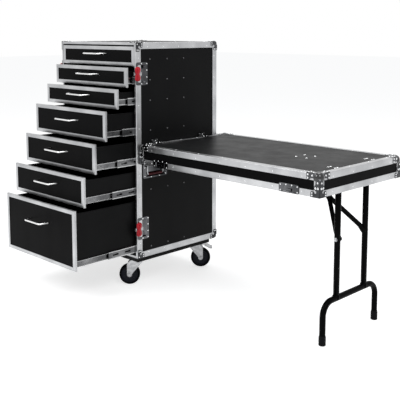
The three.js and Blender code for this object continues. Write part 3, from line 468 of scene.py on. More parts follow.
pull_metal = metal("pull_metal", (0.72, 0.72, 0.72), (0.84, 0.84, 0.84), 0.24, 0.05, DRAWN["x"], 700.0, 0.008)
red_paint = coated("red_paint", (0.5, 0.012, 0.024), (0.62, 0.018, 0.035), 0.34, 500.0, 0.02, 0.3)
grip_rubber = coated("grip_rubber", (0.055, 0.006, 0.009), (0.09, 0.01, 0.015), 0.6, 900.0, 0.05, 0.3)
tyre_rubber = coated("tyre_rubber", (0.0019, 0.0021, 0.003), (0.0036, 0.004, 0.0056), 0.55, 800.0, 0.05, 0.04)
hub_plastic = coated("hub_plastic", (0.006, 0.007, 0.012), (0.011, 0.013, 0.021), 0.38, 600.0, 0.03, 0.15)
cap_rubber = coated("cap_rubber", (0.004, 0.004, 0.005), (0.008, 0.008, 0.009), 0.6, 900.0, 0.05, 0.06)
black_steel = coated("black_steel", (0.0012, 0.0012, 0.0014), (0.0022, 0.0022, 0.0025), 0.2, 420.0, 0.035, 0.03)


# The extrusions round a box: an angle profile on every edge, mitred at both ends.
def angle_bar(long, flange_x, flange_y, cuts):
    # Each end is mitred, and cropped square to the box's diagonal where a ball takes the corner's place.
    wall, turn, lip = 1.5, 3.5, 0.4
    folds = sorted({cut / 2 for cut in cuts if cut})
    outline = [(turn, 0)] + [(x, 0) for x in folds]
    outline += [(flange_x - lip, 0), (flange_x, lip), (flange_x, wall)] + [(x, wall) for x in folds[::-1]]
    outline += [(wall + 0.8, wall), (wall, wall + 0.8)] + [(wall, y) for y in folds]
    outline += [(wall, flange_y), (lip, flange_y), (0, flange_y - lip)] + [(0, y) for y in folds[::-1]]
    outline += arc(turn, turn, turn, 180, 270, 6)[:-1]
    low, high = [[max(x + y, cut - x - y) + FIT / 2 for x, y in outline] for cut in cuts]
    return loft([[(x, y, z) for (x, y), z in zip(outline, low)],
                 [(x, y, long - z) for (x, y), z in zip(outline, high)]])


def rims():
    # Every edge of a box: the axis it follows, then both axes square to it, with its side on each.
    for along in range(3):
        for a in (0, 1):
            for b in (0, 1):
                yield along, ((along + 1) % 3, a), ((along + 2) % 3, b)


def box_edges(size, flanges, cropped):
    # flanges[axis] holds the flange width on the low and the high face square to that axis. A corner
    # whose side on one axis is the same as cropped's is cropped for a ball.
    ball_axis, ball_side, cut = cropped
    bars = {"x": [], "y": [], "z": []}
    for along, (first, a), (second, b) in rims():
        at = Vector()
        at[first], at[second] = a * size[first], b * size[second]
        cuts = [cut if {first: a, second: b, along: end}[ball_axis] == ball_side else 0 for end in (0, 1)]
        bar = angle_bar(size[along], flanges[second][b], flanges[first][a], cuts)
        bars["xyz"[along]].append(bar.placed(at, AXES[first] * (1 - 2 * a), AXES[second] * (1 - 2 * b),
                                             AXES[along]))
    return bars


def edge_rivets(size, margin, pitch, lift, skip, zones, shift=ORIGIN):
    # Rivets along both flanges of every edge of a box, at even places between the corner fittings, but
    # none on the skipped faces or in a zone. Beside a skipped face they stand a little closer to it.
    found = []
    for along, one, two in rims():
        count = max(round((size[along] - 2 * margin) / pitch), 1)
        for step in range(count + 1):
            for (face, side), (other, other_side) in ((one, two), (two, one)):
                near = lift * 0.8 if (other, other_side) in skip else lift
                at = Vector()
                at[along] = margin + (size[along] - margin - margin) * step / count
                at[face] = side * size[face]
                at[other] = size[other] - near if other_side else near
                if (face, side) in skip or any(all(low[k] <= at[k] <= high[k] for k in range(3))
                                               for low, high in zones):
                    continue
                found.append(rivet(at + Vector(shift), AXES[face] * (2 * side - 1), 2.6, 1.0))
    return found


def corner(reach, near, far, sheet, faces, spots, head, ball=0, bulge=0, cut=0):
    # Plates on the given faces with a rivet head at each spot, and a ball in place of the cropped
    # corner. A plate lies in X and Y, its face at z = 0 and its top at z = -sheet, and its two arms
    # swell at their ends.
    tip = [(-sheet, cut + sheet), (cut + sheet, -sheet)] if cut else [(-sheet, -sheet)]
    arm = [(reach - 3, -sheet), (reach, 2 - sheet), (reach, far - 6), (reach - 2, far - 2), (reach - 6, far),
           (reach - 13, far), (reach - 18, near + 1.5), (near + 9, near), (near + 3, near + 1)]
    leaf = prism(tip + arm + [(y, x) for x, y in arm[::-1]], -sheet, 0.3)
    plates = [leaf.placed(ORIGIN, *face) for face in faces]
    rivets = [rivet(x_axis * x + y_axis * y - z_axis * sheet, -z_axis, *head)
              for x_axis, y_axis, z_axis in faces for x, y in spots]
    if not ball:
        return gathered(plates), gathered(rivets)
    # The ball ends in the wall, just past its own middle, and shows nothing inside.
    profile = ball_arc(ball, 11, 20)
    profile.append((0, profile[-1][1]))
    inward = Vector((1, 1, 1))
    round_form = turned(profile, 36, inward * (ball - bulge), inward.normalized())
    # The web that closes the cropped corner behind the ball.
    tips = [Vector([cut + sheet if k == along else -sheet for k in range(3)]) for along in range(3)]
    plates.append(loft([tips, [tip + inward for tip in tips]]))
    return gathered(plates), gathered(rivets), round_form


def fitted(found, at, sides, kept):
    # Puts the forms of a corner fitting at one corner of a box.
    for form, group in zip(found, kept):
        group.append(form.placed(at, *[axis * side for axis, side in zip(AXES, sides)]))


def clamped(form, axis):
    # Flattens what stands past a rim onto the rim's plane.
    for vertex in form.verts:
        vertex[axis] = max(vertex[axis], 0)


# The case: extrusions, corner fittings and rivets. A front brace has no leaf on the open rim.
CASE_SIZE, WIDE = (WIDTH, DEPTH, HEIGHT), (30, 30)
CASE_CUT, LID_CUT = 17, 25
for way, bars in box_edges(CASE_SIZE, (WIDE, (12, 30), WIDE), (1, 1, CASE_CUT)).items():
    on_case("case_edges_" + way, [bar.moved(-HALF, 0, 0) for bar in bars], aluminium[way], "case_frame")

FACES = XY, YZ, ZX = (X, Y, Z), (Y, Z, X), (Z, X, Y)
BALL_SPOTS = ((38, 7), (38, 18), (7, 38), (18, 38))
RIM_SPOTS = ((35, 7), (35, 17), (7, 35), (17, 35))
ball_set = corner(44, 16, 24, 1.4, FACES, BALL_SPOTS, (3.4, 1.8), ball=14, bulge=4, cut=CASE_CUT)
brace_set = corner(42, 15, 24, 1.4, (XY, YZ), (*RIM_SPOTS, (8, 8)), (3.4, 1.8))
clamped(brace_set[0], 1)
fittings, heads, balls = [], [], []
for side_x in ENDS:
    for side_z, z in ((1, 0), (-1, HEIGHT)):
        for side_y, y, found in ((-1, DEPTH, ball_set), (1, 0, brace_set)):
            fitted(found, (-side_x * HALF, y, z), (side_x, side_y, side_z), (fittings, heads, balls))

# Nothing is riveted through the open rim, and the latch dishes take their places on the front edges.
LATCH_HEIGHTS = (144, HEIGHT - 144)
latch_zones = [((-5, -5, height - 60), (WIDTH + 5, 75, height + 60)) for height in LATCH_HEIGHTS]
heads += edge_rivets(CASE_SIZE, 72, 112, 21, {(1, 0)}, latch_zones, (-HALF, 0, 0))
on_case("case_corners", fittings, chrome, "case_frame", bevel=0.35)
on_case("case_balls", balls, painted_reflection_chrome, "case_frame")


# Latch dishes: a riveted sheet round a sunk pan, with a post and the fixed hook.
def pan(outer, mouth, steps, top, deep, sheet=1.2):
    # A sheet with a pressed pocket: outer rim, rolled mouth, sloping walls and a floor. The steps say
    # how far in from the mouth the roll ends, and the walls end and the floor starts.
    rim, roll, foot, floor = [inset(*mouth, by) for by in (0, *steps)]
    rings = [level(outer, top - sheet), level(outer, top), level(rim, top), level(roll, top - 0.5),
             level(foot, deep + 1.2), level(floor, deep), level(floor, deep - sheet), level(foot, deep - sheet),
             level(roll, top - sheet)]
    body = loft(rings, closed=True)
    # The two rings of the floor are joined by caps and not by a wall.
    count = len(floor)
    upper, lower = 5 * count, 6 * count
    body.faces = [f for f in body.faces if not (min(f) >= upper and max(f) < lower + count)]
    body.faces.append(tuple(range(upper, upper + count)))
    body.faces.append(tuple(range(lower, lower + count))[::-1])
    return body


def latch_dish():
    # In the dish's own frame X runs back along the case, Y up and Z out of the side. The front edge is
    # flush with the case's rim, so its corners are square there.
    outer = [(0 if x < 1 else x, y) for x, y in rounded(0, 70, -53, 53, 10)]
    sheet = pan(outer, (9, 59, -41, 41, 9), (1, 3, 5), 1.2, -8.4)
    spots = [(64.5, y) for y in (-46, -16, 16, 46)] + [(32, y) for y in (-47, 47)]
    nails = [rivet((x, y, 1.2), Z, 3.7, 1.8) for x, y in spots]
    post = turned([(0, -8.6), (8, -8.6), (8, -6.6), (6, -6), (6, 1.4), (0, 1.4)], 24, (24, 0, 0))
    hook = prism(both_ways([(-13, 1), (-13, 7), (-10, 8), (30, 8), (32, 7)]), 1.5, 4.1)
    tip = prism([(-13, -8), (-10, -8), (-10, 8), (-13, 8)], -5, 1.6)
    return sheet, gathered(nails), gathered([post, hook, tip])


dishes, hooks = [], []
for height in LATCH_HEIGHTS:
    for made, kept in zip(latch_dish(), (dishes, heads, hooks)):
        right = made.placed((HALF, 0, height), *YZ)
        kept += [right, right.mirrored()]
on_case("latch_dishes", dishes, chrome, "case_frame", angle=50)
on_case("latch_hooks", hooks, zinc, "case_frame", bevel=0.3)


# Latch handles: a butterfly plate with rounded edges and a raised rib, held by a domed pin.
def wing():
    def curve(start, control, end, steps=7):
        return [tuple((1 - t) ** 2 * s + 2 * t * (1 - t) * c + t * t * e
                      for s, c, e in zip(start, control, end))
                for t in (i / steps for i in range(steps))]

    wide, long = 15.5, 33.5
    quarter = curve((8.5, 0), (wide, 8.4), (wide, 20)) + curve((wide, 20), (wide, long), (0, long))
    half = quarter + [(-x, y) for x, y in [(0, long)] + quarter[:0:-1]]
    outline = half + [(-x, -y) for x, y in half]
    leaf = loft([[(x * (1 - by / wide), y * (1 - by / long), z) for x, y in outline]
                 for by, z in ((0.8, 0), (0, 0.8), (0, 3.8), (0.5, 4.6), (1.6, 5))])
    rib = loft([level(rounded(-w, w, -h, h, w - 0.1), z) for z, w, h in
                ((2.5, 3.4, 28.5), (6.4, 3.1, 28), (8.2, 2.5, 27.2), (9, 1.4, 26))])
    pin = turned([(0, 4), (5.6, 4), (5.6, 6.2), (4.4, 7.4), (0, 7.6)], 24)
    return gathered([leaf, rib, pin])


wing_form = wing().placed((HALF + 1.2 + FIT + 2.6 + FIT, 5.5, 0), *YZ)
for place, height in zip(("low", "high"), LATCH_HEIGHTS):
    for side, form in (("right", wing_form), ("left", wing_form.mirrored())):
        node = "latch_handle_%s_%s" % (side, place)
        name = "butterfly_%s_%s" % (side, place)
        make(name, [form.moved(0, 0, height)], CASE, red_paint, node, (node,), angle=40)


# Side panels with the cut-outs for latches and carrying handles, and their runner screws.
INNER = HALF - SKIN - PLY
FRONTS = (91, 91, 91, 136.5, 136.5, 136.5, 273)
OPEN = (0, 46, 103, 172, 234, 297, 350)
# The sills of the drawers, from the top one down.
LOWEST_SILL, DRAWER_GAP = 16, 5
SILLS = [LOWEST_SILL]
for front in FRONTS[:0:-1]:
    SILLS.insert(0, SILLS[0] + front + DRAWER_GAP)
# A runner's middle height over the sill, the start of the drawer's box, and the runner's start and length
# along the case.
CENTRE, BOX_FRONT = 31, 11.3
RUNNER_FRONT, RUNNER_LONG = BOX_FRONT + 0.7, 460

cuts = [(7.7, 60.3, height - 42.3, height + 42.3) for height in LATCH_HEIGHTS] + [(56.7, 173.3, 388.7, 449.3)]
right_board = plate(SKIN, DEPTH - SKIN, SKIN, HEIGHT - SKIN, cuts, INNER, HALF - SKIN).placed(ORIGIN, *YZ)
on_case("side_panel_right", [right_board], board_black, "right_panel", bevel=0.3)
on_case("side_panel_left", [right_board.mirrored()], board_black, "left_panel", bevel=0.3)
screws = [screw((HALF - SKIN, y, sill + CENTRE), X, 3.6, 1.5) for sill in SILLS for y in (88, 197, 307)]
on_case("runner_screws", [form for head in screws for form in (head, head.mirrored())], dark_zinc)


# Runners. A member's outline has its distance from the side panel along X and its height along Y.
def on_runner(form, side):
    return form.placed((side * INNER, RUNNER_FRONT, CENTRE), X * -side, Z, Y)


def member(outline, side):
    return on_runner(prism(outline, 0, RUNNER_LONG), side)


def middle_member(side):
    # A web with long slots, and a flange and lip along each edge.
    slots = [(y, y + 34, -4, 4) for y in (24, 96, 168, 240, 312, 396)]
    web = plate(0, RUNNER_LONG, -16, 16, slots, 1.8, 3.0).placed(ORIGIN, Z, Y, X)
    edge = [(1.8, 15.9), (3.0, 15.9), (3.4, 16.3), (8.8, 16.3), (8.8, 14), (10, 14), (10, 16.5), (9, 17.5),
            (3, 17.5), (1.8, 16.3)]
    flanges = [prism(line, 0, RUNNER_LONG) for line in (edge, [(x, -y) for x, y in edge[::-1]])]
    return on_runner(gathered(flanges + [web]), side)


def bead_rows(side, x, height, radius):
    # Bearing balls in the rear of a raceway, where they stay covered at full travel.
    rear = RUNNER_FRONT + RUNNER_LONG - 14
    places = [(side * (INNER - x), rear - 22 * k, CENTRE + up * height) for k in range(9) for up in ENDS]
    return gathered([turned(ball_arc(radius, 6, 6), 8, at) for at in places])


flange = [(1, 22.5), (9.5, 22.5), (10.5, 21.5), (10.5, 18), (9.3, 18), (9.3, 21.3), (1, 21.3)]
cabinet_line = flange[::-1] + [(-0.2, 21.3), (-0.2, -21.3)] + [(x, -y) for x, y in flange]
members = [member(cabinet_line, side).moved(0, 0, sill) for sill in SILLS for side in ENDS]
on_case("cabinet_runners", members, runner_steel)


# Ledges that the table's hooks hang on, and the heights of the table's top and the case's underside.
TABLE_TOP, CASE_LOW = 706, 160
HOOKS = (110, 428)


def ledge(y):
    # Its top lies close under the hook's lip, which starts 16 over the table's top.
    top = TABLE_TOP - CASE_LOW + 16 - FIT
    face, outer = HALF - SKIN, HALF + 5 - FIT
    line = [(face - 0.4, top - 26), (face + 3, top - 26), (face + 3, top - 4), (face + 4, top - 3),
            (outer, top - 3), (outer, top - 0.6), (outer - 0.6, top), (face - 0.4, top)]
    nails = [rivet((face + 3, y + dy, top - 16), X, 2.4, 0.9) for dy in (-11, 11)]
    return gathered([upright(line, 34, y + 17)] + nails)


on_case("table_ledges", [ledge(y) for y in HOOKS], zinc, bevel=0.25)

# Carrying handles: a pressed dish with a riveted rim, two ears, and a sprung bail with a ribbed grip.
CARRY_Y, CARRY_Z = 115, 433
BAIL_AT = (HALF - SKIN + 1.2, CARRY_Y, CARRY_Z + 4)
# Half the bail's width, its drop and its wire's radius, and how far from its middle the ears stand.
BAIL, DROP, WIRE = 49, -37, 3.1
EAR = BAIL + 3.2 + 0.5


def carry_dish():
    # In the dish's own frame X runs back along the case, Y up and Z out of the side.
    sheet = pan(rounded(-76.5, 76.5, -52, 52, 9), (-57.5, 57.5, -43, 15, 8), (0.8, 1.6, 2.6), 1.5, -7.8)
    spots = [(x, y) for x in (-66, 66) for y in (-42, 0, 42)] + [(x, y) for x in (-26, 26) for y in (-47.6, 33)]
    ear = prism(arc(0, 0, 4.9, 0, 180, 8) + [(-4.9, -8.3), (4.9, -8.3)], 0, 4.6)
    ears = [ear.placed((x, 4, 1.2), Y, Z, X) for x in (EAR + 0.2, -EAR - 4.8)]
    return gathered([sheet] + ears), gathered([rivet((x, y, 1.5), Z, 3.0, 1.4) for x, y in spots])


def carry_bail():
    path = [(0, -BAIL, 3.2), (0, -BAIL, DROP), (0, BAIL, DROP), (0, BAIL, 3.2)]
    pins = [rod((0, s * 47.4, 0), (0, s * (EAR + 2.2), 0), WIRE, 14) for s in ENDS]
    caps = [turned([(0, -1.4), (2, -1), (2.9, 0), (0, 0.4)], 14, (0, s * BAIL, 3.2), -Z) for s in ENDS]
    return gathered([tube(bent(path, 7), WIRE, 14)] + pins + caps)


def ribbed_grip():
    profile = [(0, 0), (4.6, 0), (5.6, 0.8)]
    y = 1.4
    while y < 81:
        profile += [(6.1, y), (6.1, y + 2.6), (5.5, y + 3.1), (5.5, y + 3.9)]
        y += 4.4
    return turned(profile + [(5.6, 83.2), (4.6, 84), (0, 84)], 20, (0, -42, DROP), Y)


carry_forms = [form.placed((HALF - SKIN, CARRY_Y, CARRY_Z), *YZ) for form in carry_dish()]
carry_forms += [form.moved(*BAIL_AT) for form in (carry_bail(), ribbed_grip())]
for side in ("right", "left"):
    sheet, nails, bail, grip = carry_forms if side == "right" else [form.mirrored() for form in carry_forms]
    heads.append(nails)
    node = "carry_grip_" + side
    on_case("carry_pan_" + side, [sheet], chrome, "carry_dish_" + side, angle=50)
    make("carry_bail_" + side, [bail], CASE, zinc, node, (node,))
    make("carry_sleeve_" + side, [grip], CASE, grip_rubber, node, (node,))
on_case("case_rivets", heads, rivet_steel, "case_frame")


# Drawers, each drawn with its closed front plane at y = 0 and its sill at z = 0.
def tray(front):
    def ring(by, z):
        x, y0, y1 = 266 - by, BOX_FRONT + by, BOX_FRONT + 480 - by
        return [(-x, y0, z), (x, y0, z), (x, y1, z), (-x, y1, z)]

    wall, low, high = 9, 16, front - 16
    return loft([ring(0, low), ring(0, high), ring(wall, high), ring(wall, low + 6)])


def trim_frame(front):
    # Four mitred lengths of an angle section.
    section = [(17, 0.3), (17, 1.5), (1.9, 1.5), (1.5, 1.9), (1.5, 11), (0.3, 11), (0, 10.7)]
    section += arc(1.6, 1.6, 1.6, 180, 270, 4) + [(16.7, 0)]
    half = 276.5
    corners = [Vector(at) for at in ((-half, 0, 0), (half, 0, 0), (half, 0, front), (-half, 0, front))]
    bars = []
    for start, end in zip(corners, corners[1:] + corners[:1]):
        along = (end - start).normalized()
        inward = Vector((-along.z, 0, along.x))
        rings = [[base + inward * d + along * sign * (d + FIT / 2) + Y * y for d, y in section[::-1]]
                 for base, sign in ((start, 1), (end, -1))]
        bars.append(loft(rings))
    return bars


def bow_pull(height):
    grip_y, foot_y = -39.5, SKIN
    way = [(-70, foot_y, height), (-60, grip_y, height), (60, grip_y, height), (70, foot_y, height)]
    return tube(bent(way, 13), 3.9, 16)


drawer_line = [(4.5, 13.5), (4.5, 12.3), (11.5, 12.3), (11.5, -12.3), (4.5, -12.3), (4.5, -13.5), (12, -13.5),
               (12.9, -12.6), (12.9, 12.6), (12, 13.5)]
for index, (front, sill, stand) in enumerate(zip(FRONTS, SILLS, OPEN)):
    body = "drawer_%d" % (index + 1)
    at = CASE + Vector((0, -stand, sill)) * MM
    # The pull sits lower on a deep drawer.
    share = 0.33 if front > 200 else 0.4
    face = box((-274.7, SKIN, SKIN), (274.7, BOX_FRONT + 0.2, front - SKIN))
    rails = []
    for side in ENDS:
        rails += [member(drawer_line, side), bead_rows(side, 7.6, 14.9, 1.25)]
        rails += [screw((side * (INNER - 11.5), RUNNER_FRONT + y, CENTRE), X * side, 3.4, 1.2)
                  for y in (30, 150, 300)]
    make(body + "_tray", [tray(front)], at, board_black, body, (body + "_box",), slot="drawer_black", bevel=0.5)
    make(body + "_face", [face], at, drawer_black, body, bevel=0.4)
    make(body + "_edging", trim_frame(front), at, aluminium["x"], body, (body + "_trim",))
    make(body + "_pull", [bow_pull(front * (1 - share))], at, pull_metal, body, angle=50)
    make(body + "_rails", rails, at, rail_steel, body)
    half_at = CASE + Vector((0, -stand / 2, sill)) * MM
    for side, sign in (("right", 1), ("left", -1)):
        name = "runner_%d_%s" % (index + 1, side)
        form = [middle_member(sign), bead_rows(sign, 6.2, 19.4, 1.7)]
        make("slotted_" + name, form, half_at, track_steel, "middle_" + name, ("middle_" + name,))

# The board under the case with its four bolted castor plates. A castor has a place and an angle.
CASTORS = {"front_right": (197, 77, 224.6), "front_left": (-197, 77, 224.6), "rear_right": (197, 463, 44.6),
           "rear_left": (-197, 463, 44.6)}
board = box((8 - HALF, 8, 140), (HALF - 8, DEPTH - 45, 158.3))
make("castor_board_ply", [board], FLOOR, board_black, "case", ("castor_board",), bevel=1.2)
flats = []
for x, y, _ in CASTORS.values():
    flats.append(prism(rounded(x - 50, x + 50, y - 42, y + 42, 7), 136, 140.2))
    for dx in (-40, 40):
        for dy in (-32, 32):
            at = (x + dx, y + dy, 136.1)
            flats += [hex_nut(at, -Z, 6.6, 4.6), turned([(0, 0), (8.4, 0), (8.4, 1.1), (0, 1.1)], 20, at, -Z)]
make("castor_plates", flats, FLOOR, zinc, "case", bevel=0.3)

# Castors, drawn with the swivel at the origin, the floor at z = 0 and the trail along X.
TRAIL, AXLE = 38, 51
HUB = (TRAIL, 0, AXLE)
BRAKE_X, BRAKE_Z = 42, 115.7


def swung(one, other, angle):
    # Two axes turned by an angle in their own plane.
    c, s = math.cos(angle), math.sin(angle)
    return one * c + other * s, one * -s + other * c


def castor_fork():
    head = turned([(0, 125.2), (24, 125.2), (26.4, 126), (27, 127.4), (27, 129.2), (25.4, 129.9), (25.4, 131),
                   (27, 131.7), (27, 133.9), (25.8, 135.7), (0, 135.7)], 40)
    king = turned([(0, 117.5), (5.5, 117.5), (7.4, 119), (8.4, 122.8), (0, 122.8)], 20)
    crown = prism(rounded(-27, 27, -21, 21, 6), 122.6, 125.6)
    line = [(-27, 125.4), (-27, 118.5), (-22, 110), (-6, 92), (12, 71), (23, 57)]
    line += arc(TRAIL, AXLE, 12, 168, 360, 14) + [(50, 62), (50, 100), (47.5, 108), (40, 116), (27, 125.4)]
    parts = [head, king, crown, upright(line, 2.6, 21), upright(line, 2.6, -18.4)]
    washer = [(0, 0), (9.6, 0), (9.6, 0.7), (8.8, 1.3), (0, 1.3)]
    rib = prism([(29, 59), (31, 62), (-16, 117), (-20, 117)], -0.4, 0.7)
    for side in ENDS:
        parts += [turned(washer, 24, (TRAIL, side * 20.9, AXLE), Y * side),
                  hex_nut((TRAIL, side * 22, AXLE), Y * side, 6.4, 4.2),
                  rib.placed((0, side * 21, 0), X, Z, Y * side)]
    parts.append(rod((TRAIL, -18.5, AXLE), (TRAIL, 18.5, AXLE), 4.9, 20))
    return gathered(parts)


def castor_tyre():
    half = [(39.8, 13), (42, 15.6), (44.5, 16), (47.6, 15.2), (49.6, 12.6), (50.7, 8), (51, 3)]
    return ring_turned(both_ways(half), 56, HUB, Y)


def castor_hub():
    half = [(5.3, 15), (13.4, 15), (14.8, 14), (16, 9.6), (33.6, 8), (35.2, 8.4), (37.6, 12.4), (40, 12.8)]
    parts = [ring_turned(both_ways(half), 48, HUB, Y)]
    rib = prism([(37, 8), (33, 9.4), (15, 12.6), (14, 9)], -1.2, 1.2)
    for k in range(8):
        out, across = swung(X, Z, 2 * math.pi * k / 8)
        parts += [rib.placed(HUB, out, Y * side, across) for side in ENDS]
    return gathered(parts)


def brake_pedal():
    crest = [(57, -9), (47, -6.2), (35, 2), (24, 6)]
    line = [(0, 3.4), (22, 3.4), (34, -1), (46.4, -8.8), (55, -11.6), (57, -11.2)] + crest + [(0, 6)]
    cheek = [(16, -3), (26, -5), (37, -11), (48, -15.6), (55.4, -15.8), (57, -13.6)] + crest + [(16, 6)]
    barrel = ring_turned(both_ways([(3.3, 15), (5.4, 15), (5.6, 14.6)]), 24, ORIGIN, Y)
    treads = [box((x, -12, z), (x + 1.6, 12, z + 1.2))
              for x, z in ((30, 3.2), (34, 1.8), (38, -0.9), (42, -3.6), (48, -6.9))]
    return gathered([upright(line, 30, 15), barrel] + [upright(cheek, 5.4, y) for y in (20.2, -14.8)] + treads)


fork, tyre, hub = castor_fork(), castor_tyre(), castor_hub()
pedal = brake_pedal().moved(BRAKE_X, 0, BRAKE_Z)
brake_pin = rod((BRAKE_X, -19, BRAKE_Z), (BRAKE_X, 19, BRAKE_Z), 3, 16)
for name, (x, y, angle) in CASTORS.items():
    at = ((x, y, 0), *swung(X, Y, math.radians(angle)), Z)
    fork_node, wheel_node, pedal_node = ["castor_%s_%s" % (kind, name) for kind in ("fork", "wheel", "pedal")]
    forks = [fork.placed(*at)]
    if name.startswith("rear"):
        forks.append(brake_pin.placed(*at))
        make("brake_" + name, [pedal.placed(*at)], FLOOR, zinc, pedal_node, (pedal_node,), bevel=0.25)
    make("swivel_fork_" + name, forks, FLOOR, zinc, fork_node, (fork_node,), bevel=0.3)
    make("tyre_" + name, [tyre.placed(*at)], FLOOR, tyre_rubber, wheel_node, (wheel_node,), angle=50)
    make("hub_" + name, [hub.placed(*at)], FLOOR, hub_plastic, wheel_node, (wheel_node,))

# The table: the lid turned over.
LID_SIZE, LID_FLANGE = (LID_LONG, LID_WIDE, LID_HIGH), (27, 27)
for way, bars in box_edges(LID_SIZE, (LID_FLANGE, LID_FLANGE, (12, 27)), (2, 1, LID_CUT)).items():
    on_table("table_edges_" + way, bars, aluminium[way], "table_frame")

LID_SPOTS = ((55, 7), (55, 20), (35, 9), (7, 55), (20, 55), (9, 35))
lid_set = corner(62, 19, 27, 1.6, FACES, LID_SPOTS, (4.0, 2.0), ball=22, bulge=5, cut=LID_CUT)
rim_set = corner(42, 15, 24, 1.4, (YZ, ZX), RIM_SPOTS, (3.7, 1.9))
clamped(rim_set[0], 2)
corners, table_heads, table_balls = [], [], []
for side_x, x in ((1, 0), (-1, LID_LONG)):
    for side_y, y in ((1, 0), (-1, LID_WIDE)):
        for side_z, z, found in ((-1, LID_HIGH, lid_set), (1, 0, rim_set)):
            fitted(found, (x, y, z), (side_x, side_y, side_z), (corners, table_heads, table_balls))
on_table("table_corners", corners, chrome, "table_frame", bevel=0.35)
on_table("table_balls", table_balls, painted_reflection_chrome, "table_frame")

keeper_zones = [((x - 55, -5, -5), (x + 55, LID_WIDE + 5, 40)) for x in LATCH_HEIGHTS]
hook_zones = [((-5, y - 54, 80), (40, y + 26, 100)) for y in HOOKS]
table_heads += edge_rivets(LID_SIZE, 84, 150, 18, {(2, 0)}, keeper_zones + hook_zones)


def keeper():
    # Drawn on a face square to Y, with its foot on the rim at z = 0.
    leaf = pan(rounded(-49, 49, 0.3, 36, 7), (-29, 29, 5, 27, 5), (0.8, 1.4, 2.2), 1.6, 0.4)
    catch = [(-0.3, 8), (3.4, 8), (4.9, 9.4), (4.9, 17), (3.8, 18), (2.8, 17.4), (2.8, 11), (-0.3, 10.4)]
    lip = prism(catch, -13, 13).placed(ORIGIN, Z, Y, -X)
    lower_lip = prism(rounded(-27, 27, 1.2, 4.6, 1.4), 1.4, 3.4)
    spots = ((-41, 7), (41, 7), (-41, 29), (41, 29), (-14, 31.6), (14, 31.6))
    nails = [rivet((x, z, 1.6), Z, 3.3, 1.5) for x, z in spots]
    return [gathered(forms).placed(ORIGIN, X, Z, -Y) for forms in ([leaf, lip, lower_lip], nails)]


keepers = []
for x in LATCH_HEIGHTS:
    for form, kept in zip(keeper(), (keepers, table_heads)):
        near = form.moved(x, 0, 0)
        kept += [near, near.placed((0, LID_WIDE, 0), X, -Y, Z)]
on_table("latch_keepers", keepers, chrome, "table_frame", bevel=0.2)


def table_hook(middle):
    # A foot riveted to the edge, an upright leaf that narrows, and a lip turned over the ledge.
    foot = prism(rounded(0, 32, middle - 17, middle + 17, 3), LID_HIGH - 0.4, LID_HIGH + 2.8)
    leaf = [(middle - 17, 2), (middle + 17, 2), (middle + 15.5, 7), (middle + 10, 15)]
    leaf += arc(middle + 6.5, 15.5, 3.5, 0, 90, 4) + arc(middle - 6.5, 15.5, 3.5, 90, 180, 4)
    leaf.append((middle - 15.5, 7))
    lip = [(-4.7, 15.6), (0.4, 15.6), (0.4, 18.8), (-4.2, 18.8), (-4.7, 18.2)]
    nails = [rivet((x, middle + dy, LID_HIGH + 2.8), Z, 3.4, 1.7) for x, dy in ((22, -10), (22, 10), (10, 0))]
    nails.append(rivet((3, middle, LID_HIGH + 10), X, 3.2, 1.5))
    leaf_form = prism(leaf, 0, 3).placed((0, 0, LID_HIGH), *YZ)
    return [foot, leaf_form, upright(lip, 13, middle + 6.5, z=LID_HIGH)], nails


hooks = []
for y in HOOKS:
    forms, nails = table_hook(y - 14)
    hooks += forms
    table_heads += nails
on_table("hanging_hooks", hooks, chrome, "table_frame", bevel=0.3)
lever = prism(rounded(21, 30, 110, 250, 4), LID_HIGH - 0.4, LID_HIGH + 4)
lever_pin = turned([(0, 0), (3.4, 0), (3.4, 1), (2.4, 1.8), (0, 1.9)], 18, (25.5, 243, LID_HIGH + 3.9))
on_table("edge_lever", [lever, lever_pin], satin_steel, "table_frame", bevel=0.3)

# The table's board, with the heads of the bracket rivets that come through it.
PIVOT_X, MIDDLE, PIVOT_Z = LID_LONG - 46, LID_WIDE / 2, LID_HIGH - 27
BRACKET_X, ANCHOR_X, KNUCKLE_X = PIVOT_X - 236, PIVOT_X - 219, PIVOT_X - 124
TOP, UNDER = LID_HIGH - SKIN, LID_HIGH - SKIN - PLY
slab = prism(rounded(SKIN, LID_LONG - SKIN, SKIN, LID_WIDE - SKIN, 8, 1), UNDER, TOP)
field = box((32, 32, TOP - 0.4), (LID_LONG - 32, LID_WIDE - 32, TOP + 0.5))
on_table("table_board", [slab, field], table_black, "table_panel", bevel=0.2)
spots = [(PIVOT_X + dx, MIDDLE + side * dy) for side in ENDS for dx in (-23, 9) for dy in (123, 139)]
spots += [(BRACKET_X + dx, MIDDLE + dy) for dx in (-27, 27) for dy in (-30, 30)]
on_table("table_bolts", [rivet((x, y, TOP + 0.5), Z, 5, 1.9, 16) for x, y in spots], rivet_steel)
on_table("table_rivets", table_heads, rivet_steel, "table_frame")


# The leg's brackets. An ear hangs from a plate and has a bore for its pin.
def ear(x, end, top, bore):
    outer, inner = [], []
    for k in range(32):
        t = 2 * math.pi * k / 32
        c, s = math.cos(t), math.sin(t)
        reach = 13 if s <= 0 else min(13 / max(abs(c), 1e-6), top / max(s, 1e-6))
        outer.append((reach * c, reach * s))
        inner.append((bore * c, bore * s))
    return ring_band(outer, inner, 0, 3).placed((x, end, PIVOT_Z), X, Z, -Y)


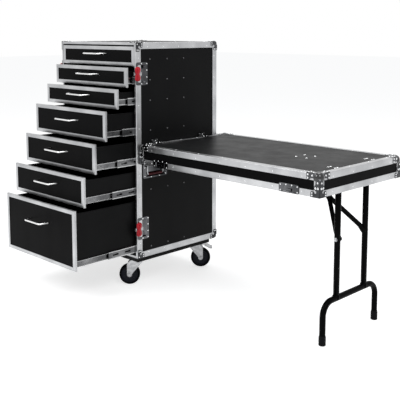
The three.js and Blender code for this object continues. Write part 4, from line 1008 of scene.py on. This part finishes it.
irons = []
for side in ENDS:
    low, high = sorted((side * 113.5, side * 147.5))
    irons.append(prism(rounded(PIVOT_X - 30, PIVOT_X + 30, MIDDLE + low, MIDDLE + high, 4), UNDER - 3, UNDER))
    end = MIDDLE + side * 113.5 + (3 if side > 0 else 0)
    irons.append(ear(PIVOT_X, end, UNDER - 1.5 - PIVOT_Z, 8.4))
    irons += [rivet((PIVOT_X + dx, MIDDLE + side * 133, UNDER - 3), -Z, 3.4, 1.6) for dx in (-22, 22)]
on_table("leg_brackets", irons, zinc, "table_panel", bevel=0.25)

fork_top = UNDER - FIT
toggle = [prism(rounded(ANCHOR_X - 20, ANCHOR_X + 20, MIDDLE - 6.3, MIDDLE + 6.3, 2), fork_top - 3, fork_top)]
toggle += [ear(ANCHOR_X, end, fork_top - 1.5 - PIVOT_Z, 4.05) for end in (MIDDLE - 3.3, MIDDLE + 6.3)]
toggle.append(rod((ANCHOR_X, MIDDLE - 6.2, PIVOT_Z), (ANCHOR_X, MIDDLE + 6.2, PIVOT_Z), 4, 20, 0.3))
toggle += [turned([(0, -0.3), (5.6, -0.3), (5.6, 0.8), (4.4, 1.8), (0, 1.9)], 20,
                  (ANCHOR_X, MIDDLE + s * 6.3, PIVOT_Z), Y * s) for s in ENDS]
on_table("toggle_fork", toggle, zinc, "toggle_bracket", bevel=0.2)
spreader = [prism(rounded(BRACKET_X - 37, BRACKET_X + 37, MIDDLE + low, MIDDLE + low + 33, 5), UNDER - 2, UNDER)
            for low in (-40, 7)]
spreader.append(prism(rounded(BRACKET_X - 37, ANCHOR_X - 21, MIDDLE - 10, MIDDLE + 10, 2), UNDER - 2, UNDER))
on_table("toggle_spreader", spreader, zinc, bevel=0.2)

# The folding leg: a bent floor bar, two uprights, an axle, bolts and rubber caps.
FLOOR_Z = LID_HIGH - TABLE_TOP
BAR_Z, BOLT_Z = FLOOR_Z + 170, PIVOT_Z - 267
PIPE, FOOT_Y = 12.5, 190


def spot(y, z):
    return Vector((PIVOT_X, MIDDLE + y, z))


way = [spot(-FOOT_Y, FLOOR_Z + 6), spot(-FOOT_Y, BAR_Z), spot(FOOT_Y, BAR_Z), spot(FOOT_Y, FLOOR_Z + 6)]
pipes, bolts, caps = [tube(bent(way, 55, 10), PIPE, 28)], [], []
collar = [(0, -4), (15, -4), (15.4, -2), (15.4, 9), (14.2, 12.4), (12.6, 14), (0, 14)]
cap = [(0, 0), (12.4, 0), (14.2, 1.2), (14.5, 3), (14.5, 9), (13.8, 10.2), (13.8, 12), (14.5, 13), (14.5, 33),
       (13.9, 37), (12.9, 40), (0, 40)]
for side in ENDS:
    y = side * 100
    pipes += [rod(spot(y, BAR_Z), spot(y, PIVOT_Z + 8), PIPE, 28, 1.5), turned(collar, 28, spot(y, BAR_Z))]
    bolts += [turned([(0, 0), (8, 0), (8, 1.2), (0, 1.2)], 20, spot(side * 112.2, BOLT_Z), Y * side),
              hex_nut(spot(side * 113.2, BOLT_Z), Y * side, 6, 4),
              rod(spot(side * 86, BOLT_Z), spot(side * 88.6, BOLT_Z), 4.4, 16, 0.3)]
    caps.append(turned(cap, 28, spot(side * FOOT_Y, FLOOR_Z)))
axle = rod(spot(-123.5, PIVOT_Z), spot(123.5, PIVOT_Z), 8, 28, 1)
make("leg_tubes", pipes, TABLE, black_steel, "leg", ("leg_frame",), angle=45)
make("leg_axle", [axle] + bolts, TABLE, zinc, "leg", ("leg_frame",))
make("leg_caps", caps, TABLE, cap_rubber, "leg", ("leg_frame",))


def stepped_bar(start, end, from_y, to_y, thick, wide):
    # A flat bar with round ends that steps over sideways between them.
    def half(d):
        return math.sqrt(wide * wide / 4 - d * d)

    tips = [wide / 2 * d for d in (0, 0.28, 0.56, 0.78, 0.89)]
    along = Vector((end[0] - start[0], 0, end[1] - start[1]))
    long = along.length
    along.normalize()
    across = Vector((-along.z, 0, along.x))
    stations = [(-d, from_y, half(d)) for d in tips[::-1]]
    stations += [(d, from_y + (to_y - from_y) * part, half(0)) for d, part in ((22, 0), (30, 0.03))]
    stations += [(long - d, to_y + (from_y - to_y) * part, half(0)) for d, part in ((30, 0.03), (22, 0))]
    stations += [(long + d, to_y, half(d)) for d in tips]
    rings = []
    for distance, y, reach in stations:
        middle = Vector((start[0], y, start[1])) + along * distance
        rings.append([middle + across * (reach * a) + Y * (thick / 2 * b)
                      for a, b in ((-1, -1), (-1, 1), (1, 1), (1, -1))])
    return loft(rings)


KNUCKLE_Z = BOLT_Z + 151.6
bolt_at, knuckle_at, anchor_at = (PIVOT_X, BOLT_Z), (KNUCKLE_X, KNUCKLE_Z), (ANCHOR_X, PIVOT_Z)
arms = [stepped_bar(bolt_at, knuckle_at, MIDDLE + s * 85.6, MIDDLE + s * 4.8, 3, 23) for s in ENDS]
pin = [rod((KNUCKLE_X, MIDDLE - 8.3, KNUCKLE_Z), (KNUCKLE_X, MIDDLE + 8.3, KNUCKLE_Z), 4, 20, 0.3)]
pin += [turned([(0, 0), (6.2, 0), (6.2, 0.9), (5, 1.9), (0, 2)], 20,
               (KNUCKLE_X, MIDDLE + s * 6.2, KNUCKLE_Z), Y * s) for s in ENDS]
link = stepped_bar(anchor_at, knuckle_at, MIDDLE, MIDDLE, 5, 18)
make("wishbone_arms", arms, TABLE, black_steel, "wishbone", ("wishbone_brace",), bevel=0.4)
make("knuckle_pin", pin, TABLE, zinc, "wishbone", ("wishbone_brace",))
make("upper_link_bar", [link], TABLE, black_steel, "upper_link", ("upper_link",), bevel=0.5)

# The nodes whose solids are shown as they are.
for node, material in (("top_panel", board_black), ("bottom_panel", board_black), ("back_panel", board_black),
                       ("table_walls", drawer_black)):
    mesh = frame["nodes"][node].data
    mesh.materials.clear()
    mesh.materials.append(material)


# Floor, light and camera.
def background_rays(tree):
    # 1 for rays that see or mirror the background, and 0 for those that light the object.
    rays = add_node(tree, "LightPath").outputs
    seen = add_node(tree, "Math", {0: rays["Is Camera Ray"], 1: rays["Is Glossy Ray"]}, "MAXIMUM").outputs[0]
    return add_node(tree, "Math", {0: seen, 1: rays["Is Transmission Ray"]}, "MAXIMUM").outputs[0]


def stage(size):
    # A white floor that mirrors and shows as the background does.
    mesh = bpy.data.meshes.new("floor")
    corners = [(-size, -size, 0), (size, -size, 0), (size, size, 0), (-size, size, 0)]
    mesh.from_pydata(corners, [], [(0, 1, 2, 3)])
    material = bpy.data.materials.new("floor")
    tree = emptied(material)
    matt = add_node(tree, "BsdfDiffuse", {"Color": (0.8, 0.8, 0.8, 1)})
    level_up = add_node(tree, "Math", {0: background_rays(tree), 1: 0.7}, "MULTIPLY")
    glow = add_node(tree, "Emission", {"Color": (1, 1, 1, 1), "Strength": level_up.outputs[0]})
    total = add_node(tree, "AddShader", {0: matt.outputs[0], 1: glow.outputs[0]})
    add_node(tree, "OutputMaterial", {"Surface": total.outputs[0]})
    mesh.materials.append(material)
    linked("floor", mesh)


def world():
    bpy.context.scene.world = bpy.data.worlds.new("studio")
    tree = emptied(bpy.context.scene.world)
    seen = add_node(tree, "Background", {"Color": (1, 1, 1, 1), "Strength": 1.0})
    lit = add_node(tree, "Background", {"Color": (0.96, 0.98, 1, 1), "Strength": 0.33})
    mix = add_node(tree, "MixShader", {"Fac": background_rays(tree), 1: lit.outputs[0], 2: seen.outputs[0]})
    add_node(tree, "OutputWorld", {"Surface": mix.outputs[0]})


def aimed(thing, at, way):
    # Puts a lamp or camera in a place and turns it that way.
    thing.location = at
    thing.rotation_mode = "QUATERNION"
    thing.rotation_quaternion = way.to_track_quat("-Z", "Y")


def softbox(name, at, target, size, power):
    data = bpy.data.lights.new(name, "AREA")
    data.shape = "RECTANGLE"
    data.size, data.size_y = size
    data.energy = power
    aimed(linked(name, data), at, Vector(target) - Vector(at))


stage(30)
world()
softbox("key", (-1.6, -3.6, 3.6), (-0.2, 0, 0.6), (2.4, 2.0), 90)
softbox("fill", (3.0, -1.4, 3.4), (-0.1, 0.1, 0.8), (1.6, 1.6), 45)
softbox("top", (0.2, 0.6, 4.2), (0, 0.1, 0.6), (2.6, 2.2), 60)

# The photograph's camera. Its focal length is in widths of the picture, its place in the case's frame.
FOCAL, SENSOR = 743.8 / 400, 36
EYE = Vector((2902.5, -2223.5, 1071.4))
YAW, PITCH = math.radians(-44.675), math.radians(6.804)
camera_data = bpy.data.cameras.new("camera")
camera_data.sensor_width, camera_data.lens = SENSOR, FOCAL * SENSOR
camera_data.shift_y = -0.2
camera_data.clip_start, camera_data.clip_end = 0.1, 100
camera = bpy.context.scene.camera = linked("camera", camera_data)
forward = Vector((math.sin(YAW) * math.cos(PITCH), math.cos(YAW) * math.cos(PITCH), -math.sin(PITCH)))
aimed(camera, CASE + EYE * MM, forward)

bpy.context.scene.view_settings.view_transform = "Standard"
